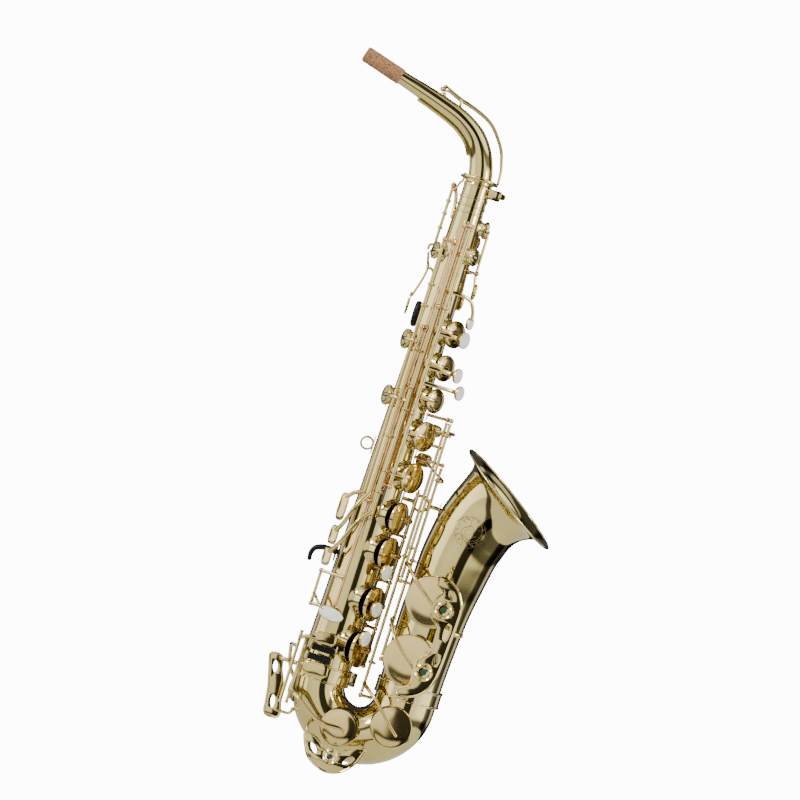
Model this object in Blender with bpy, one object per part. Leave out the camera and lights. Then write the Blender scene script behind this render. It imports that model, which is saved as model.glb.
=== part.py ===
"""Alto saxophone: conical brass body, detachable neck, bow and bell, with its keys on their hinge rods.

Every place is given as (x, y, v) in millimetres about the body tube's axis: x towards the bell, y towards
the player's left side, v downwards from the neck joint. point() turns one into world metres, where the
origin is the centre of the strap ring and +Z runs up the body tube.
"""

import math

import bmesh
import bpy
from mathutils import Matrix, Vector

MM = 0.001
STRAP_RING = Vector((-28.0, 0.0, 274.0))
GAP = 0.4  # between neighbouring pieces

# Conical body tube
BODY_TOP_R = 13.5
BODY_TAPER = 0.0245
BODY_START = 26.0
BODY_END = 500.0
WALL = 1.0
CHIMNEY = 4.0  # how far a tone hole stands out of its tube
CUP_DEPTH = 6.0
CUP_MARGIN = 2.0  # a cup reaches past its chimney by this much

# Bow and bell
BOW_CENTRE = (43.0, 513.0)
BOW_R = 43.5
BOW_TUBE_R = (25.2, 31.2)
# Bell sections from the bow upwards: x, v, tilt to the front and turn to the player's right in degrees, radius
BELL_SECTIONS = (
    (86.5, 499.6, 0, 0, 31.2), (86.6, 470, 0, 0, 31.9), (87.6, 425, 0, 0, 33.6), (89.5, 400, 0, 0, 34.5),
    (91.0, 383, 1, 0, 35.8), (93.0, 362, 4, 0, 37.1), (95.5, 345, 11, 0, 37.7), (99.0, 330, 19, 0.5, 39.0),
    (104.0, 315, 25, 1.5, 39.6), (111.0, 302, 30, 3, 41.4), (118.0, 292.5, 33, 4.5, 45.4),
    (121.3, 288.6, 33.7, 5.2, 49.5), (123.2, 286.2, 34, 5.7, 56.0), (124.5, 284.8, 34, 6, 62.2),
)
# Neck centreline from the body joint to the cork end: x, v, radius
NECK_SECTIONS = (
    (0.0, -8.6, 12.0), (-0.6, -14, 12.1), (-3.0, -24, 11.9), (-8.0, -37, 11.3), (-16.0, -48.5, 10.7),
    (-27.0, -57.5, 10.1), (-40.0, -64.5, 9.6), (-60.0, -71.5, 8.9), (-80.0, -77.5, 8.2),
    (-105.0, -84.5, 7.2), (-147.0, -96.7, 7.0),
)
NECK_TENON_END = 18.0
OCTAVE_LOOP_R = 18.6

# Hinge lines parallel to the body, each at (x, y)
UPPER_LINE = (6.5, -28.0)
LOWER_LINE = (36.0, -3.0)
SIDE_LINES = ((-15.5, -21.5), (-10.5, -24.8), (-2.5, -27.2))
BELL_LINES = ((45.5, -17.0), (50.5, -10.5), (42.0, -8.5))
OCTAVE_LINE = (-23.5, 6.0)
LOW_EB_LINE = (-33.0, -13.0)
TRILL_SPAN = (411.0, 440.0)  # v range of the F sharp trill key, on the low E flat key's line
LOW_C_LINE = (-26.5, -22.5)
HINGE_R = 2.4
STEEL_R = 1.1
STEEL_HOLE_R = 1.5

# Stack keys: name, v of the cup, cup radius, hinge from, hinge to, pearl (x, y, v) or None
UPPER_PHI = 31.0
UPPER_KEYS = (
    ("c_key", 145, 14.0, 125.8, 162.0, None),
    ("b_key", 180, 13.5, 162.4, 196.6, (36.0, -13.0, 183.5)),
    ("a_key", 214, 12.5, 197.0, 229.2, (42.0, -10.0, 199.5)),
    ("g_key", 251, 15.5, 234.8, 271.0, None),
    ("g_sharp_key", 294, 15.6, 271.4, 305.2, None),
)
LOWER_PHI = 38.0
LOWER_KEYS = (
    ("f_sharp_key", 336, 16.5, 306.0, 350.0, None),
    ("f_key", 373, 17.5, 355.4, 398.0, (32.5, -24.5, 391)),
    ("e_key", 425, 18.0, 403.4, 446.0, None),
    ("d_key", 471, 19.2, 451.4, 484.7, None),
)
STACK_OPEN = 10.0  # degrees that a stack cup stands open at rest

# Side keys: name, hinge line, v of the cup, phi, radius, hinge from, hinge to, touch from, touch to
SIDE_KEYS = (
    ("side_e_key", 0, 70, 160, 9.0, 60, 325, 327, 356),
    ("side_c_key", 1, 163, 155, 10.4, 150, 325, 361, 381),
    ("side_bb_key", 2, 222, 155, 10.6, 210, 341, 384, 403),
)
# High F sharp cup on the upper stack's line
HIGH_FS_V = 66.0
HIGH_FS_PHI = 38.0
HIGH_FS_R = 9.0

# Palm keys: name, phi, v of the cup, radius, v of the touch
PALM_HINGE_V = 80.0
PALM_KEYS = (
    ("palm_f_key", -8, 36, 9.0, 98),
    ("palm_eb_key", -54, 50, 8.5, 112),
    ("palm_d_key", -100, 64, 8.5, 124),
)

# Low key cups on the bow and the bell: x, v, radius, and how far each key stands open in degrees
LOW_C_CUP = (32.0, 550.0, 19.0)
LOW_CS_CUP = (80.0, 535.0, 21.0)
LOW_B_CUP = (80.0, 466.0, 26.0)
LOW_BB_CUP = (83.0, 404.0, 26.0)
LOW_EB_ANGLE = 25.0  # round the bow from its small end
LOW_EB_R = 15.0
LOW_C_OPEN = 5.0
BELL_OPEN = 7.0
RIGHT_SIDE = (0.0, -1.0)  # the way the bow's and bell's tone holes face, as (x, y)
EB_OUT = (-0.62, 0.785)

# Planes of the sheet guards, as y
BELL_GUARD_Y = -59.0
LOW_GUARD_Y = -52.0
GUARD_THICKNESS = 1.6

BRASS = ("lacquered_brass", (0.62, 0.55, 0.33), 0.22, 1.0)
KEY_BRASS = ("key_brass", (0.66, 0.56, 0.34), 0.25, 1.0)
STEEL = ("steel", (0.55, 0.55, 0.54), 0.3, 1.0)
CORK = ("cork", (0.55, 0.36, 0.20), 0.9, 0.0)
BLACK = ("black_plastic", (0.02, 0.02, 0.02), 0.35, 0.0)
FELT = ("green_felt", (0.05, 0.20, 0.10), 0.95, 0.0)

parts = bpy.data.collections.new("alto_saxophone")
cutters = bpy.data.collections.new("cutters")


def point(x, y, v):
    """World metres of a place given in millimetres about the body axis."""
    return Vector((x - STRAP_RING.x, y - STRAP_RING.y, STRAP_RING.z - v)) * MM


def body_radius(v):
    return BODY_TOP_R + BODY_TAPER * v


def around(phi):
    """Unit (x, y) pointing out of the body, phi degrees from the front towards the player's right."""
    return math.cos(math.radians(phi)), -math.sin(math.radians(phi))


def material(name, colour, roughness, metallic):
    made = bpy.data.materials.get(name)
    if made is None:
        made = bpy.data.materials.new(name)
        made.use_nodes = True
        shader = made.node_tree.nodes["Principled BSDF"]
        shader.inputs["Base Color"].default_value = (*colour, 1.0)
        shader.inputs["Roughness"].default_value = roughness
        shader.inputs["Metallic"].default_value = metallic
    return made


def shape(name, mesh, collection=cutters):
    made = bpy.data.objects.new(name, mesh)
    collection.objects.link(made)
    if collection is cutters:
        made.hide_render = True
        made.display_type = "WIRE"
    return made


def from_bmesh(bm, name="shape"):
    bmesh.ops.recalc_face_normals(bm, faces=bm.faces)
    mesh = bpy.data.meshes.new(name)
    bm.to_mesh(mesh)
    bm.free()
    return shape(name, mesh)


def frame_along(start, direction):
    """Matrix at start with its Z axis along direction."""
    return Matrix.Translation(start) @ direction.to_track_quat("Z", "Y").to_matrix().to_4x4()


def bar(a, b, r, r_end=None, sides=8):
    """Round bar from a to b, both (x, y, v)."""
    start = point(*a)
    run = point(*b) - start
    bm = bmesh.new()
    matrix = frame_along(start + run / 2, run)
    bmesh.ops.create_cone(
        bm, cap_ends=True, segments=sides, radius1=r * MM, radius2=(r_end or r) * MM,
        depth=run.length, matrix=matrix,
    )
    return from_bmesh(bm)


def ball(centre, r, sides=8, rings=5):
    bm = bmesh.new()
    bmesh.ops.create_uvsphere(
        bm, u_segments=sides, v_segments=rings, radius=r * MM, matrix=Matrix.Translation(point(*centre))
    )
    return from_bmesh(bm)


def block(low, high):
    """Box between two corners given as (x, y, v)."""
    a = point(*low)
    b = point(*high)
    size = [abs(q - p) for p, q in zip(a, b)]
    matrix = Matrix.Translation((a + b) / 2) @ Matrix.Diagonal((*size, 1.0))
    bm = bmesh.new()
    bmesh.ops.create_cube(bm, size=1.0, matrix=matrix)
    return from_bmesh(bm)


def wire(places, r, resolution=1):
    """Round wire through places, as a curve with filled caps made into a mesh."""
    curve = bpy.data.curves.new("wire", "CURVE")
    curve.dimensions = "3D"
    curve.bevel_depth = r * MM
    curve.bevel_resolution = resolution
    curve.use_fill_caps = True
    line = curve.splines.new("POLY")
    line.points.add(len(places) - 1)
    for spot, place in zip(line.points, places):
        spot.co = (*point(*place), 1.0)
    holder = shape("wire", curve)
    return meshed(holder)


def meshed(holder):
    """Replaces a curve or an object with modifiers by the welded mesh that it evaluates to."""
    bpy.context.view_layer.update()
    graph = bpy.context.evaluated_depsgraph_get()
    mesh = bpy.data.meshes.new_from_object(holder.evaluated_get(graph))
    bm = bmesh.new()
    bm.from_mesh(mesh)
    bmesh.ops.remove_doubles(bm, verts=bm.verts, dist=1e-6)
    bmesh.ops.recalc_face_normals(bm, faces=bm.faces)
    bm.to_mesh(mesh)
    bm.free()
    made = shape(holder.name, mesh)
    made.matrix_world = holder.matrix_world
    bpy.data.objects.remove(holder)
    return made


def loft(rings, sides, closed_ends):
    """Skin through circles, each (centre, direction, radius in mm)."""
    bm = bmesh.new()
    rows = []
    for centre, direction, r in rings:
        across = direction.cross(Vector((0.0, 1.0, 0.0))).normalized()
        side = across.cross(direction)
        row = []
        for i in range(sides):
            angle = 2 * math.pi * i / sides
            row.append(bm.verts.new(centre + (across * math.cos(angle) + side * math.sin(angle)) * r * MM))
        rows.append(row)
    for low, high in zip(rows, rows[1:]):
        for i in range(sides):
            j = (i + 1) % sides
            bm.faces.new((low[i], low[j], high[j], high[i]))
    if closed_ends:
        bm.faces.new(rows[0])
        bm.faces.new(rows[-1])
    return from_bmesh(bm, "loft")


def ring_of(x, v, dx, dv, r):
    """Loft ring at (x, v) in the middle plane, whose axis runs along (dx, dv)."""
    return point(x, 0, v), Vector((dx, 0.0, -dv)).normalized(), r


def path_rings(sections, extra):
    """Loft rings along (x, v, r) sections, each facing along the path, widened by extra."""
    rings = []
    for i, (x, v, r) in enumerate(sections):
        before = sections[max(i - 1, 0)]
        after = sections[min(i + 1, len(sections) - 1)]
        rings.append(ring_of(x, v, after[0] - before[0], after[1] - before[1], r + extra))
    return rings


def boolean(base, operation, other, solver):
    step = base.modifiers.new(operation.lower(), "BOOLEAN")
    step.operation = operation
    step.solver = solver
    step.object = other


def joined(shapes, cuts, solver):
    """One closed mesh: the union of shapes, less the cuts."""
    base = shapes[0]
    for other in shapes[1:]:
        boolean(base, "UNION", other, solver)
    for other in cuts:
        boolean(base, "DIFFERENCE", other, solver)
    made = meshed(base)
    for other in (*shapes[1:], *cuts):
        bpy.data.objects.remove(other)
    return made


def node(name, shapes, finish, origin=(0.0, 0.0, 0.0), cuts=(), turn=None, solver="EXACT"):
    """The named sub-part: shapes joined, less cuts, with its origin at (x, y, v) and turned about it.

    turn is (axis, degrees): how far the piece stands from the place where its shapes are given."""
    made = joined(list(shapes), list(cuts), solver)
    home = point(*origin)
    mesh = made.data
    mesh.transform(Matrix.Translation(-home))
    if turn:
        mesh.transform(Matrix.Rotation(math.radians(turn[1]), 4, Vector(turn[0])))
    bpy.data.objects.remove(made)
    mesh.name = name
    mesh.shade_smooth()
    mesh.set_sharp_from_angle(angle=math.radians(30))
    mesh.materials.clear()
    mesh.materials.append(material(*finish))
    placed = shape(name, mesh, parts)
    placed.location = home
    return placed


def chimney_axis(v, phi):
    """(x, y, v) on the body tube's axis and the outward (x, y)."""
    return (0.0, 0.0, v), around(phi)


def along(base, out, distance):
    return (base[0] + out[0] * distance, base[1] + out[1] * distance, base[2])


def chimney(base, out, r, tube_r, start=6.0):
    """Tone hole wall and the cutter for its hole: out of the tube of radius tube_r about base."""
    top = tube_r + CHIMNEY
    wall = bar(along(base, out, start), along(base, out, top), r - CUP_MARGIN, sides=12)
    hole = bar(along(base, out, start - 3), along(base, out, top + 2), r - CUP_MARGIN - 1.4, sides=12)
    return wall, hole


def cup(base, out, r, tube_r):
    """Closed key cup with its pad, resting just over a chimney: a shallow dome on a round plate."""
    face = tube_r + CHIMNEY + GAP
    crown = face + CUP_DEPTH
    return [
        bar(along(base, out, face), along(base, out, crown - 1.6), r, sides=12),
        bar(along(base, out, crown - 1.8), along(base, out, crown), r * 0.93, r * 0.55, sides=12),
    ]


def crown_of(base, out, tube_r):
    return along(base, out, tube_r + CHIMNEY + GAP + CUP_DEPTH - 0.6)


def stack_turn(line, base, out, tube_r, opening):
    """Degrees about +Z that lift a cup off its chimney when it hinges on line."""
    centre = along(base, out, tube_r + CHIMNEY)
    lift = -(centre[1] - line[1]) * out[0] + (centre[0] - line[0]) * out[1]
    return math.copysign(opening, lift)


def body_holes():
    """Every tone hole of the body tube: v, phi, cup radius."""
    holes = [(v, UPPER_PHI, r) for _, v, r, *_ in UPPER_KEYS]
    holes += [(v, LOWER_PHI, r) for _, v, r, *_ in LOWER_KEYS]
    holes += [(v, phi, r) for _, _, v, phi, r, *_ in SIDE_KEYS]
    holes += [(v, phi, r) for _, phi, v, r, _ in PALM_KEYS]
    holes.append((HIGH_FS_V, HIGH_FS_PHI, HIGH_FS_R))
    return holes


def body_tube():
    def cone(extra, start, end):
        return bar((0, 0, end), (0, 0, start), body_radius(end) + extra, body_radius(start) + extra, sides=24)

    walls = [cone(0, BODY_START, BODY_END)]
    cuts = [cone(-WALL, BODY_START - 1, BODY_END + 1)]
    for v, phi, r in body_holes():
        base, out = chimney_axis(v, phi)
        wall, hole = chimney(base, out, r, body_radius(v))
        walls.append(wall)
        cuts.append(hole)
    node("body_tube", walls, BRASS, (0, 0, BODY_START), cuts)


def bow_point(angle):
    """Place and tube radius on the bow, angle degrees round from the body side."""
    turn = math.radians(angle)
    x = BOW_CENTRE[0] - BOW_R * math.cos(turn)
    v = BOW_CENTRE[1] + BOW_R * math.sin(turn)
    share = math.sin(min(turn, math.pi / 2)) * 0.5 + max(0.0, -math.cos(turn)) * 0.5
    return x, v, BOW_TUBE_R[0] + (BOW_TUBE_R[1] - BOW_TUBE_R[0]) * share


def bow_sections():
    left_x = BOW_CENTRE[0] - BOW_R
    right_x = BOW_CENTRE[0] + BOW_R
    sections = [(left_x, BODY_END + 0.6, BOW_TUBE_R[0])]
    sections += [bow_point(angle) for angle in range(0, 181, 15)]
    sections.append((right_x, BODY_END, BOW_TUBE_R[1]))
    return sections


def bow():
    sections = bow_sections()
    walls = [loft(path_rings(sections, 0.0), 18, True)]
    # The bore runs a little past both open ends.
    first, last = sections[0], sections[-1]
    longer = [(first[0], first[1] - 2, first[2]), *sections[1:-1], (last[0], last[1] - 2, last[2])]
    cuts = [loft(path_rings(longer, -WALL), 18, True)]
    eb_x, eb_v, _ = bow_point(LOW_EB_ANGLE)
    for (x, v, r), tube_r, out in (
        (LOW_C_CUP, 29.0, RIGHT_SIDE),
        (LOW_CS_CUP, 31.0, RIGHT_SIDE),
        ((eb_x, eb_v, LOW_EB_R), 26.5, EB_OUT),
    ):
        wall, hole = chimney((x, 0, v), out, r, tube_r, start=12.0)
        walls.append(wall)
        cuts.append(hole)
    node("bow", walls, BRASS, (BOW_CENTRE[0], 0, BOW_CENTRE[1]), cuts)


def bell():
    def rings(extra):
        found = []
        for x, v, tilt, turn, r in BELL_SECTIONS:
            to_front = Matrix.Rotation(math.radians(tilt), 3, "Y")
            to_right = Matrix.Rotation(math.radians(turn), 3, "X")
            found.append((point(x, 0, v), to_front @ to_right @ Vector((0.0, 0.0, 1.0)), r + extra))
        return found

    outer = loft(rings(0.0), 24, True)
    inner_rings = rings(-WALL)
    low_centre, low_axis, low_r = inner_rings[0]
    high_centre, high_axis, high_r = inner_rings[-1]
    inner_rings[0] = (low_centre - low_axis * 2 * MM, low_axis, low_r)
    inner_rings[-1] = (high_centre + high_axis * 0.9 * MM, high_axis, high_r + 0.3)
    walls = [outer]
    cuts = [loft(inner_rings, 24, True)]
    for x, v, r, tube_r in ((*LOW_B_CUP, 31.6), (*LOW_BB_CUP, 34.0)):
        wall, hole = chimney((x, 0, v), RIGHT_SIDE, r, tube_r, start=16.0)
        walls.append(wall)
        cuts.append(hole)
    node("bell", walls, BRASS, (BELL_SECTIONS[0][0], 0, BELL_SECTIONS[0][1]), cuts)


def sleeve(x, v_from, v_to, r_in, r_out, sides=20):
    """Solid and bore of a short ring about a line parallel to the body."""
    return (
        bar((x, 0, v_to), (x, 0, v_from), r_out, sides=sides),
        bar((x, 0, v_to + 1), (x, 0, v_from - 1), r_in, sides=sides),
    )


def receiver():
    solid, bore = sleeve(0, -8, BODY_START - GAP, 12.5, 14.2)
    collar, bore_two = sleeve(0, 13, 17, 12.5, 15.0)
    ears = block((11, -6, -5), (25, 6, 5))
    slit = block((9, -0.5, -9), (27, 0.5, 12))
    screw_hole = bar((20.5, -8, 0), (20.5, 8, 0), 2.0)
    node("neck_receiver", [solid, collar, ears], BRASS, (0, 0, 0), [bore, bore_two, slit, screw_hole])


def neck_screw():
    shapes = [
        bar((20.5, 9, 0), (20.5, -10, 0), 1.5, sides=8),
        bar((20.5, -6.6, 0), (20.5, -13, 0), 3.6, sides=10),
        block((20.5, -12.6, -3.2), (30.0, -10.8, 3.2)),
    ]
    node("neck_screw", shapes, BRASS, (20.5, 0, 0))


def bands():
    solid, bore = sleeve(0, 497, 514, 26.5, 28.0)
    lug = block((26, -4, 497), (34, 4, 512))
    slit = block((22, -0.5, 495), (36, 0.5, 516))
    node("body_bow_band", [solid, lug], BRASS, (0, 0, 505), [bore, slit])
    right_x = BOW_CENTRE[0] + BOW_R
    solid, bore = sleeve(right_x, 491, 507, 32.5, 34.0)
    node("bell_bow_band", [solid], BRASS, (right_x, 0, 499), [bore])


def bell_brace():
    ring = bar((42, 3, 316), (42, 10, 316), 9, sides=14)
    hole = bar((42, 2, 316), (42, 11, 316), 6.5, sides=14)
    arms = [
        bar((22.2, 6.5, 316), (34, 6.5, 316), 3.2, sides=8),
        bar((50, 6.5, 316), (61.6, 6.5, 316), 3.2, sides=8),
        block((21.6, 1.5, 307), (23.2, 11.5, 325)),
    ]
    node("bell_brace", [ring, *arms], BRASS, (42, 6.5, 316), [hole])


def strap_ring():
    ring = bar((-28, -1.9, 274), (-28, 1.9, 274), 7.3, sides=16)
    hole = bar((-28, -3, 274), (-28, 3, 274), 4.9, sides=16)
    foot = block((-22.8, -5, 264), (-20.9, 5, 284))
    node("strap_ring", [ring, foot], BRASS, (-28, 0, 274), [hole])


def thumb_pieces():
    back = -body_radius(147) - GAP
    rest = bar((back, 2, 136), (back - 5, 2, 136), 11, 8, sides=14)
    node("thumb_rest", [rest], BLACK, (back, 2, 136))
    base = -body_radius(392) - GAP
    hook = wire(((base - 1, 10, 388), (-38, 10, 386), (-46, 10, 389), (-50, 10, 396), (-49, 10, 404)), 3.4, 2)
    plate = block((base - 2.6, 4, 374), (base, 16, 398))
    node("thumb_hook", [hook, plate], BLACK, (base, 10, 388))


def rib(phi, v_from, v_to, width):
    """Strip lying just clear of the body tube along phi, following its taper."""
    out = around(phi)
    half = []
    for v in (v_from, v_to):
        for radial in (0.6, 2.6):
            reach = body_radius(v) + radial
            for side in (-width / 2, width / 2):
                half.append((out[0] * reach - out[1] * side, out[1] * reach + out[0] * side, v))
    bm = bmesh.new()
    corners = [bm.verts.new(point(*place)) for place in half]
    bmesh.ops.convex_hull(bm, input=corners)
    return from_bmesh(bm)


def post(phi, line, v, ball_r=3.4):
    """Leaning post from a rib up to the ball that carries a hinge line."""
    out = around(phi)
    reach = body_radius(v) + 2.1
    foot = (out[0] * reach, out[1] * reach, v)
    return [bar(foot, (*line, v), 1.8, 1.5, sides=6), ball((*line, v), ball_r, 8, 4)]


def stack_posts():
    rib_phi = 90.0
    stations = (38.5, 123.0, 232.0, 308.0)
    shapes = [rib(rib_phi, 34, 313, 5)]
    for v in stations:
        shapes += post(rib_phi, UPPER_LINE, v, 2.4)
    bore = bar((*UPPER_LINE, 20), (*UPPER_LINE, 320), STEEL_HOLE_R)
    node("upper_stack_posts", shapes, BRASS, (*UPPER_LINE, stations[0]), [bore])
    steel = bar((*UPPER_LINE, 35.5), (*UPPER_LINE, 311), STEEL_R)
    node("upper_stack_rod", [steel], STEEL, (*UPPER_LINE, 35.5))

    rib_phi = -14.0
    stations = (352.7, 400.7, 448.7, 487.4)
    shapes = [rib(rib_phi, 340, 491, 4)]
    for v in stations:
        shapes += post(rib_phi, LOWER_LINE, v, 2.2)
    bore = bar((*LOWER_LINE, 296), (*LOWER_LINE, 495), STEEL_HOLE_R)
    node("lower_stack_posts", shapes, BRASS, (*LOWER_LINE, stations[0]), [bore])
    steel = bar((*LOWER_LINE, 303), (*LOWER_LINE, 490), STEEL_R)
    node("lower_stack_rod", [steel], STEEL, (*LOWER_LINE, 303))


def hinged(line, v_from, v_to):
    return bar((*line, v_from), (*line, v_to), HINGE_R, sides=10)


def steel_bore(line, v_from, v_to):
    return bar((*line, v_from - 3), (*line, v_to + 3), STEEL_HOLE_R, sides=8)


def pearl(place, r=7.4):
    """Pearl button in its round holder, facing out to the player's right front."""
    x, y, v = place
    return [bar((x, y, v), (x + 2.6, y - 3.6, v), r * 0.92, r, sides=12)]


def stack_keys():
    for keys, phi, line in ((UPPER_KEYS, UPPER_PHI, UPPER_LINE), (LOWER_KEYS, LOWER_PHI, LOWER_LINE)):
        for name, v, r, v_from, v_to, button in keys:
            base, out = chimney_axis(v, phi)
            tube_r = body_radius(v)
            crown = crown_of(base, out, tube_r)
            shapes = [hinged(line, v_from, v_to), *cup(base, out, r, tube_r)]
            knee = along(((crown[0] + line[0]) / 2, (crown[1] + line[1]) / 2, v), out, 3.4)
            shapes.append(wire(((*line, v), knee, along(crown, out, 1.0)), 1.9))
            if button:
                shapes += pearl(button)
                shapes.append(wire(((*line, button[2]), (button[0] + 0.8, button[1] - 1.2, button[2])), 1.7))
            turn = stack_turn(line, base, out, tube_r, STACK_OPEN)
            cuts = [steel_bore(line, v_from, v_to)]
            node(name, shapes, KEY_BRASS, (*line, v), cuts, ((0, 0, 1), turn))


def top_keys():
    """High F sharp and front F, on the upper stack's own rod above its first post."""
    base, out = chimney_axis(HIGH_FS_V, HIGH_FS_PHI)
    tube_r = body_radius(HIGH_FS_V)
    crown = crown_of(base, out, tube_r)
    shapes = [hinged(UPPER_LINE, 41.4, 88), *cup(base, out, HIGH_FS_R, tube_r)]
    shapes.append(wire(((*UPPER_LINE, HIGH_FS_V), (15, -25, HIGH_FS_V), along(crown, out, 1)), 1.7))
    node("high_f_sharp_key", shapes, KEY_BRASS, (*UPPER_LINE, HIGH_FS_V), [steel_bore(UPPER_LINE, 41, 88)])
    shapes = [hinged(UPPER_LINE, 88.4, 120.1)]
    hook = ((*UPPER_LINE, 106), (18, -27, 106), (28, -22, 109), (33, -19, 118), (34.5, -18, 126))
    shapes.append(wire(hook, 1.7))
    shapes += pearl((33.0, -16.0, 129), 6.5)
    node("front_f_key", shapes, KEY_BRASS, (*UPPER_LINE, 106), [steel_bore(UPPER_LINE, 88, 120)])


def side_keys():
    rib_phi = 113.0
    shapes = [rib(rib_phi, 52, 446, 3.6)]
    for _, index, _, _, _, v_from, v_to, _, _ in SIDE_KEYS:
        line = SIDE_LINES[index]
        for v in (v_from - 2.6, v_to + 2.6):
            shapes += post(rib_phi, line, v, 2.2)
    for v in (TRILL_SPAN[0] - 2.6, TRILL_SPAN[1] + 2.6):
        shapes += post(rib_phi, LOW_EB_LINE, v, 2.2)
    node("side_key_posts", shapes, BRASS, (*SIDE_LINES[0], 57.4))
    over = {
        0: ((-15.5, -21.5), (-20.0, -19.0)),
        1: ((-10.5, -24.8), (-14.0, -28.5), (-22.5, -22.5)),
        2: ((-2.5, -27.2), (-9.0, -31.0), (-19.0, -27.0)),
    }
    touch_arm = {
        0: ((-15.5, -21.5, 321), (-24, -21, 324), (-31, -17, 331)),
        1: ((-10.5, -24.8, 320), (-20, -29, 338), (-26, -25, 356), (-31, -18, 366)),
        2: ((-2.5, -27.2, 337), (-14, -31, 352), (-24, -28, 376), (-31, -18, 388)),
    }
    for name, index, v, phi, r, v_from, v_to, touch_from, touch_to in SIDE_KEYS:
        line = SIDE_LINES[index]
        base, out = chimney_axis(v, phi)
        tube_r = body_radius(v)
        crown = along(crown_of(base, out, tube_r), out, 0.8)
        shapes = [bar((*line, v_from), (*line, v_to), 2.0, sides=8), *cup(base, out, r, tube_r)]
        shapes.append(wire([(*spot, v) for spot in over[index]] + [crown], 1.5))
        shapes.append(wire(touch_arm[index], 1.6))
        shapes.append(block((-34, -20, touch_from), (-30, -7, touch_to)))
        node(name, shapes, KEY_BRASS, (*line, v))


def trill_key():
    """F sharp trill key: a short hinge tube with an oval touch reaching round to the player's right."""
    shapes = [bar((*LOW_EB_LINE, TRILL_SPAN[0]), (*LOW_EB_LINE, TRILL_SPAN[1]), 2.0, sides=8)]
    shapes.append(wire(((*LOW_EB_LINE, 432), (-29, -24, 436), (-23, -31, 442), (-16, -31.5, 445)), 1.6))
    shapes.append(block((-24, -33, 441), (2, -30.4, 451)))
    shapes.append(bar((-17.6, -33, 446), (-17.6, -30.4, 446), 6.6, sides=14))
    shapes.append(bar((-4.4, -33, 446), (-4.4, -30.4, 446), 6.6, sides=14))
    node("trill_f_sharp_key", shapes, KEY_BRASS, (*LOW_EB_LINE, 426))


def palm_keys():
    """Three levers on the player's left, rocking on short pins over one curved rib."""
    for name, phi, v, r, touch_v in PALM_KEYS:
        base, out = chimney_axis(v, phi)
        hinge_base = (0.0, 0.0, PALM_HINGE_V)
        reach = body_radius(PALM_HINGE_V) + 10.0
        pivot = along(hinge_base, out, reach)
        side = (-out[1], out[0])
        tube_r = body_radius(v)
        crown = along(crown_of(base, out, tube_r), out, 0.8)
        touch = along((0.0, 0.0, touch_v), out, body_radius(touch_v) + 13.0)
        shapes = [bar(along(pivot, side, -3.4), along(pivot, side, 3.4), 2.2), *cup(base, out, r, tube_r)]
        shapes.append(wire((crown, pivot, touch), 1.8))
        shapes.append(bar(along(touch, out, -1.2), along(touch, out, 2.2), 7.5, 6.0, sides=12))
        node(name, shapes, KEY_BRASS, pivot)
    shapes = []
    for _, phi, *_ in PALM_KEYS:
        out = around(phi)
        side = (-out[1], out[0])
        centre = (0.0, 0.0, PALM_HINGE_V)
        low = along(centre, out, body_radius(PALM_HINGE_V) + 1.6)
        high = along(centre, out, body_radius(PALM_HINGE_V) + 10.0)
        for offset in (-5.4, 5.4):
            shapes.append(bar(along(low, side, offset), along(high, side, offset), 1.6, sides=6))
            shapes.append(ball(along(high, side, offset), 1.8, 6, 4))
    arc = []
    for phi in range(12, -122, -16):
        spot = along((0.0, 0.0, PALM_HINGE_V), around(phi), body_radius(PALM_HINGE_V) + 2.2)
        arc.append(spot)
    node("palm_key_posts", [wire(arc, 1.5), *shapes], BRASS, (0, 0, PALM_HINGE_V))


def octave_parts():
    line = OCTAVE_LINE
    peg = ((*line, 8), (-20, 3, 4), (-17.6, 1, -3), (-15.9, 0.2, -5), (-15.6, 0, -11.5))
    foot = ((*line, 64), (-28, 6, 66), (-28.5, 4, 70))
    shapes = [bar((*line, 4), (*line, 69), 2.0), wire(peg, 0.9), wire(foot, 1.5)]
    node("octave_rod_key", shapes, KEY_BRASS, (*line, 40))
    rib_phi = -158.0
    shapes = [rib(rib_phi, 27, 96, 4)]
    for v in (1.6, 71.6):
        shapes += post(rib_phi, line, v, 2.2)[1:]
    shapes.append(wire(((*line, 1.6), (-21.5, 11, 2), (-17, 10.5, 14), (-15.2, 6.3, 33)), 1.6))
    shapes.append(wire(((*line, 71.6), (-16.2, 6.5, 73)), 1.7))
    for y in (1.4, 10.6):
        shapes.append(ball((-23, y, 88), 1.7))
        shapes.append(wire(((-23, y, 88), (-18.5, y, 89), (-16.6, 6.6, 92)), 1.3))
    node("octave_posts", shapes, BRASS, (*line, 71.6))
    pivot = (-23.0, 6.0, 88.0)
    shapes = [bar((-23, 3.4, 88), (-23, 8.6, 88), 1.8)]
    lever = ((-27, 6, 74), (-25, 6, 82), (-23, 6, 88), (-24, 6, 98), (-27, 6, 110), (-30, 6, 120))
    shapes.append(wire(lever, 1.7))
    shapes.append(block((-33, -2, 116), (-29.5, 14, 140)))
    node("octave_thumb_lever", shapes, KEY_BRASS, pivot)


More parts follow.
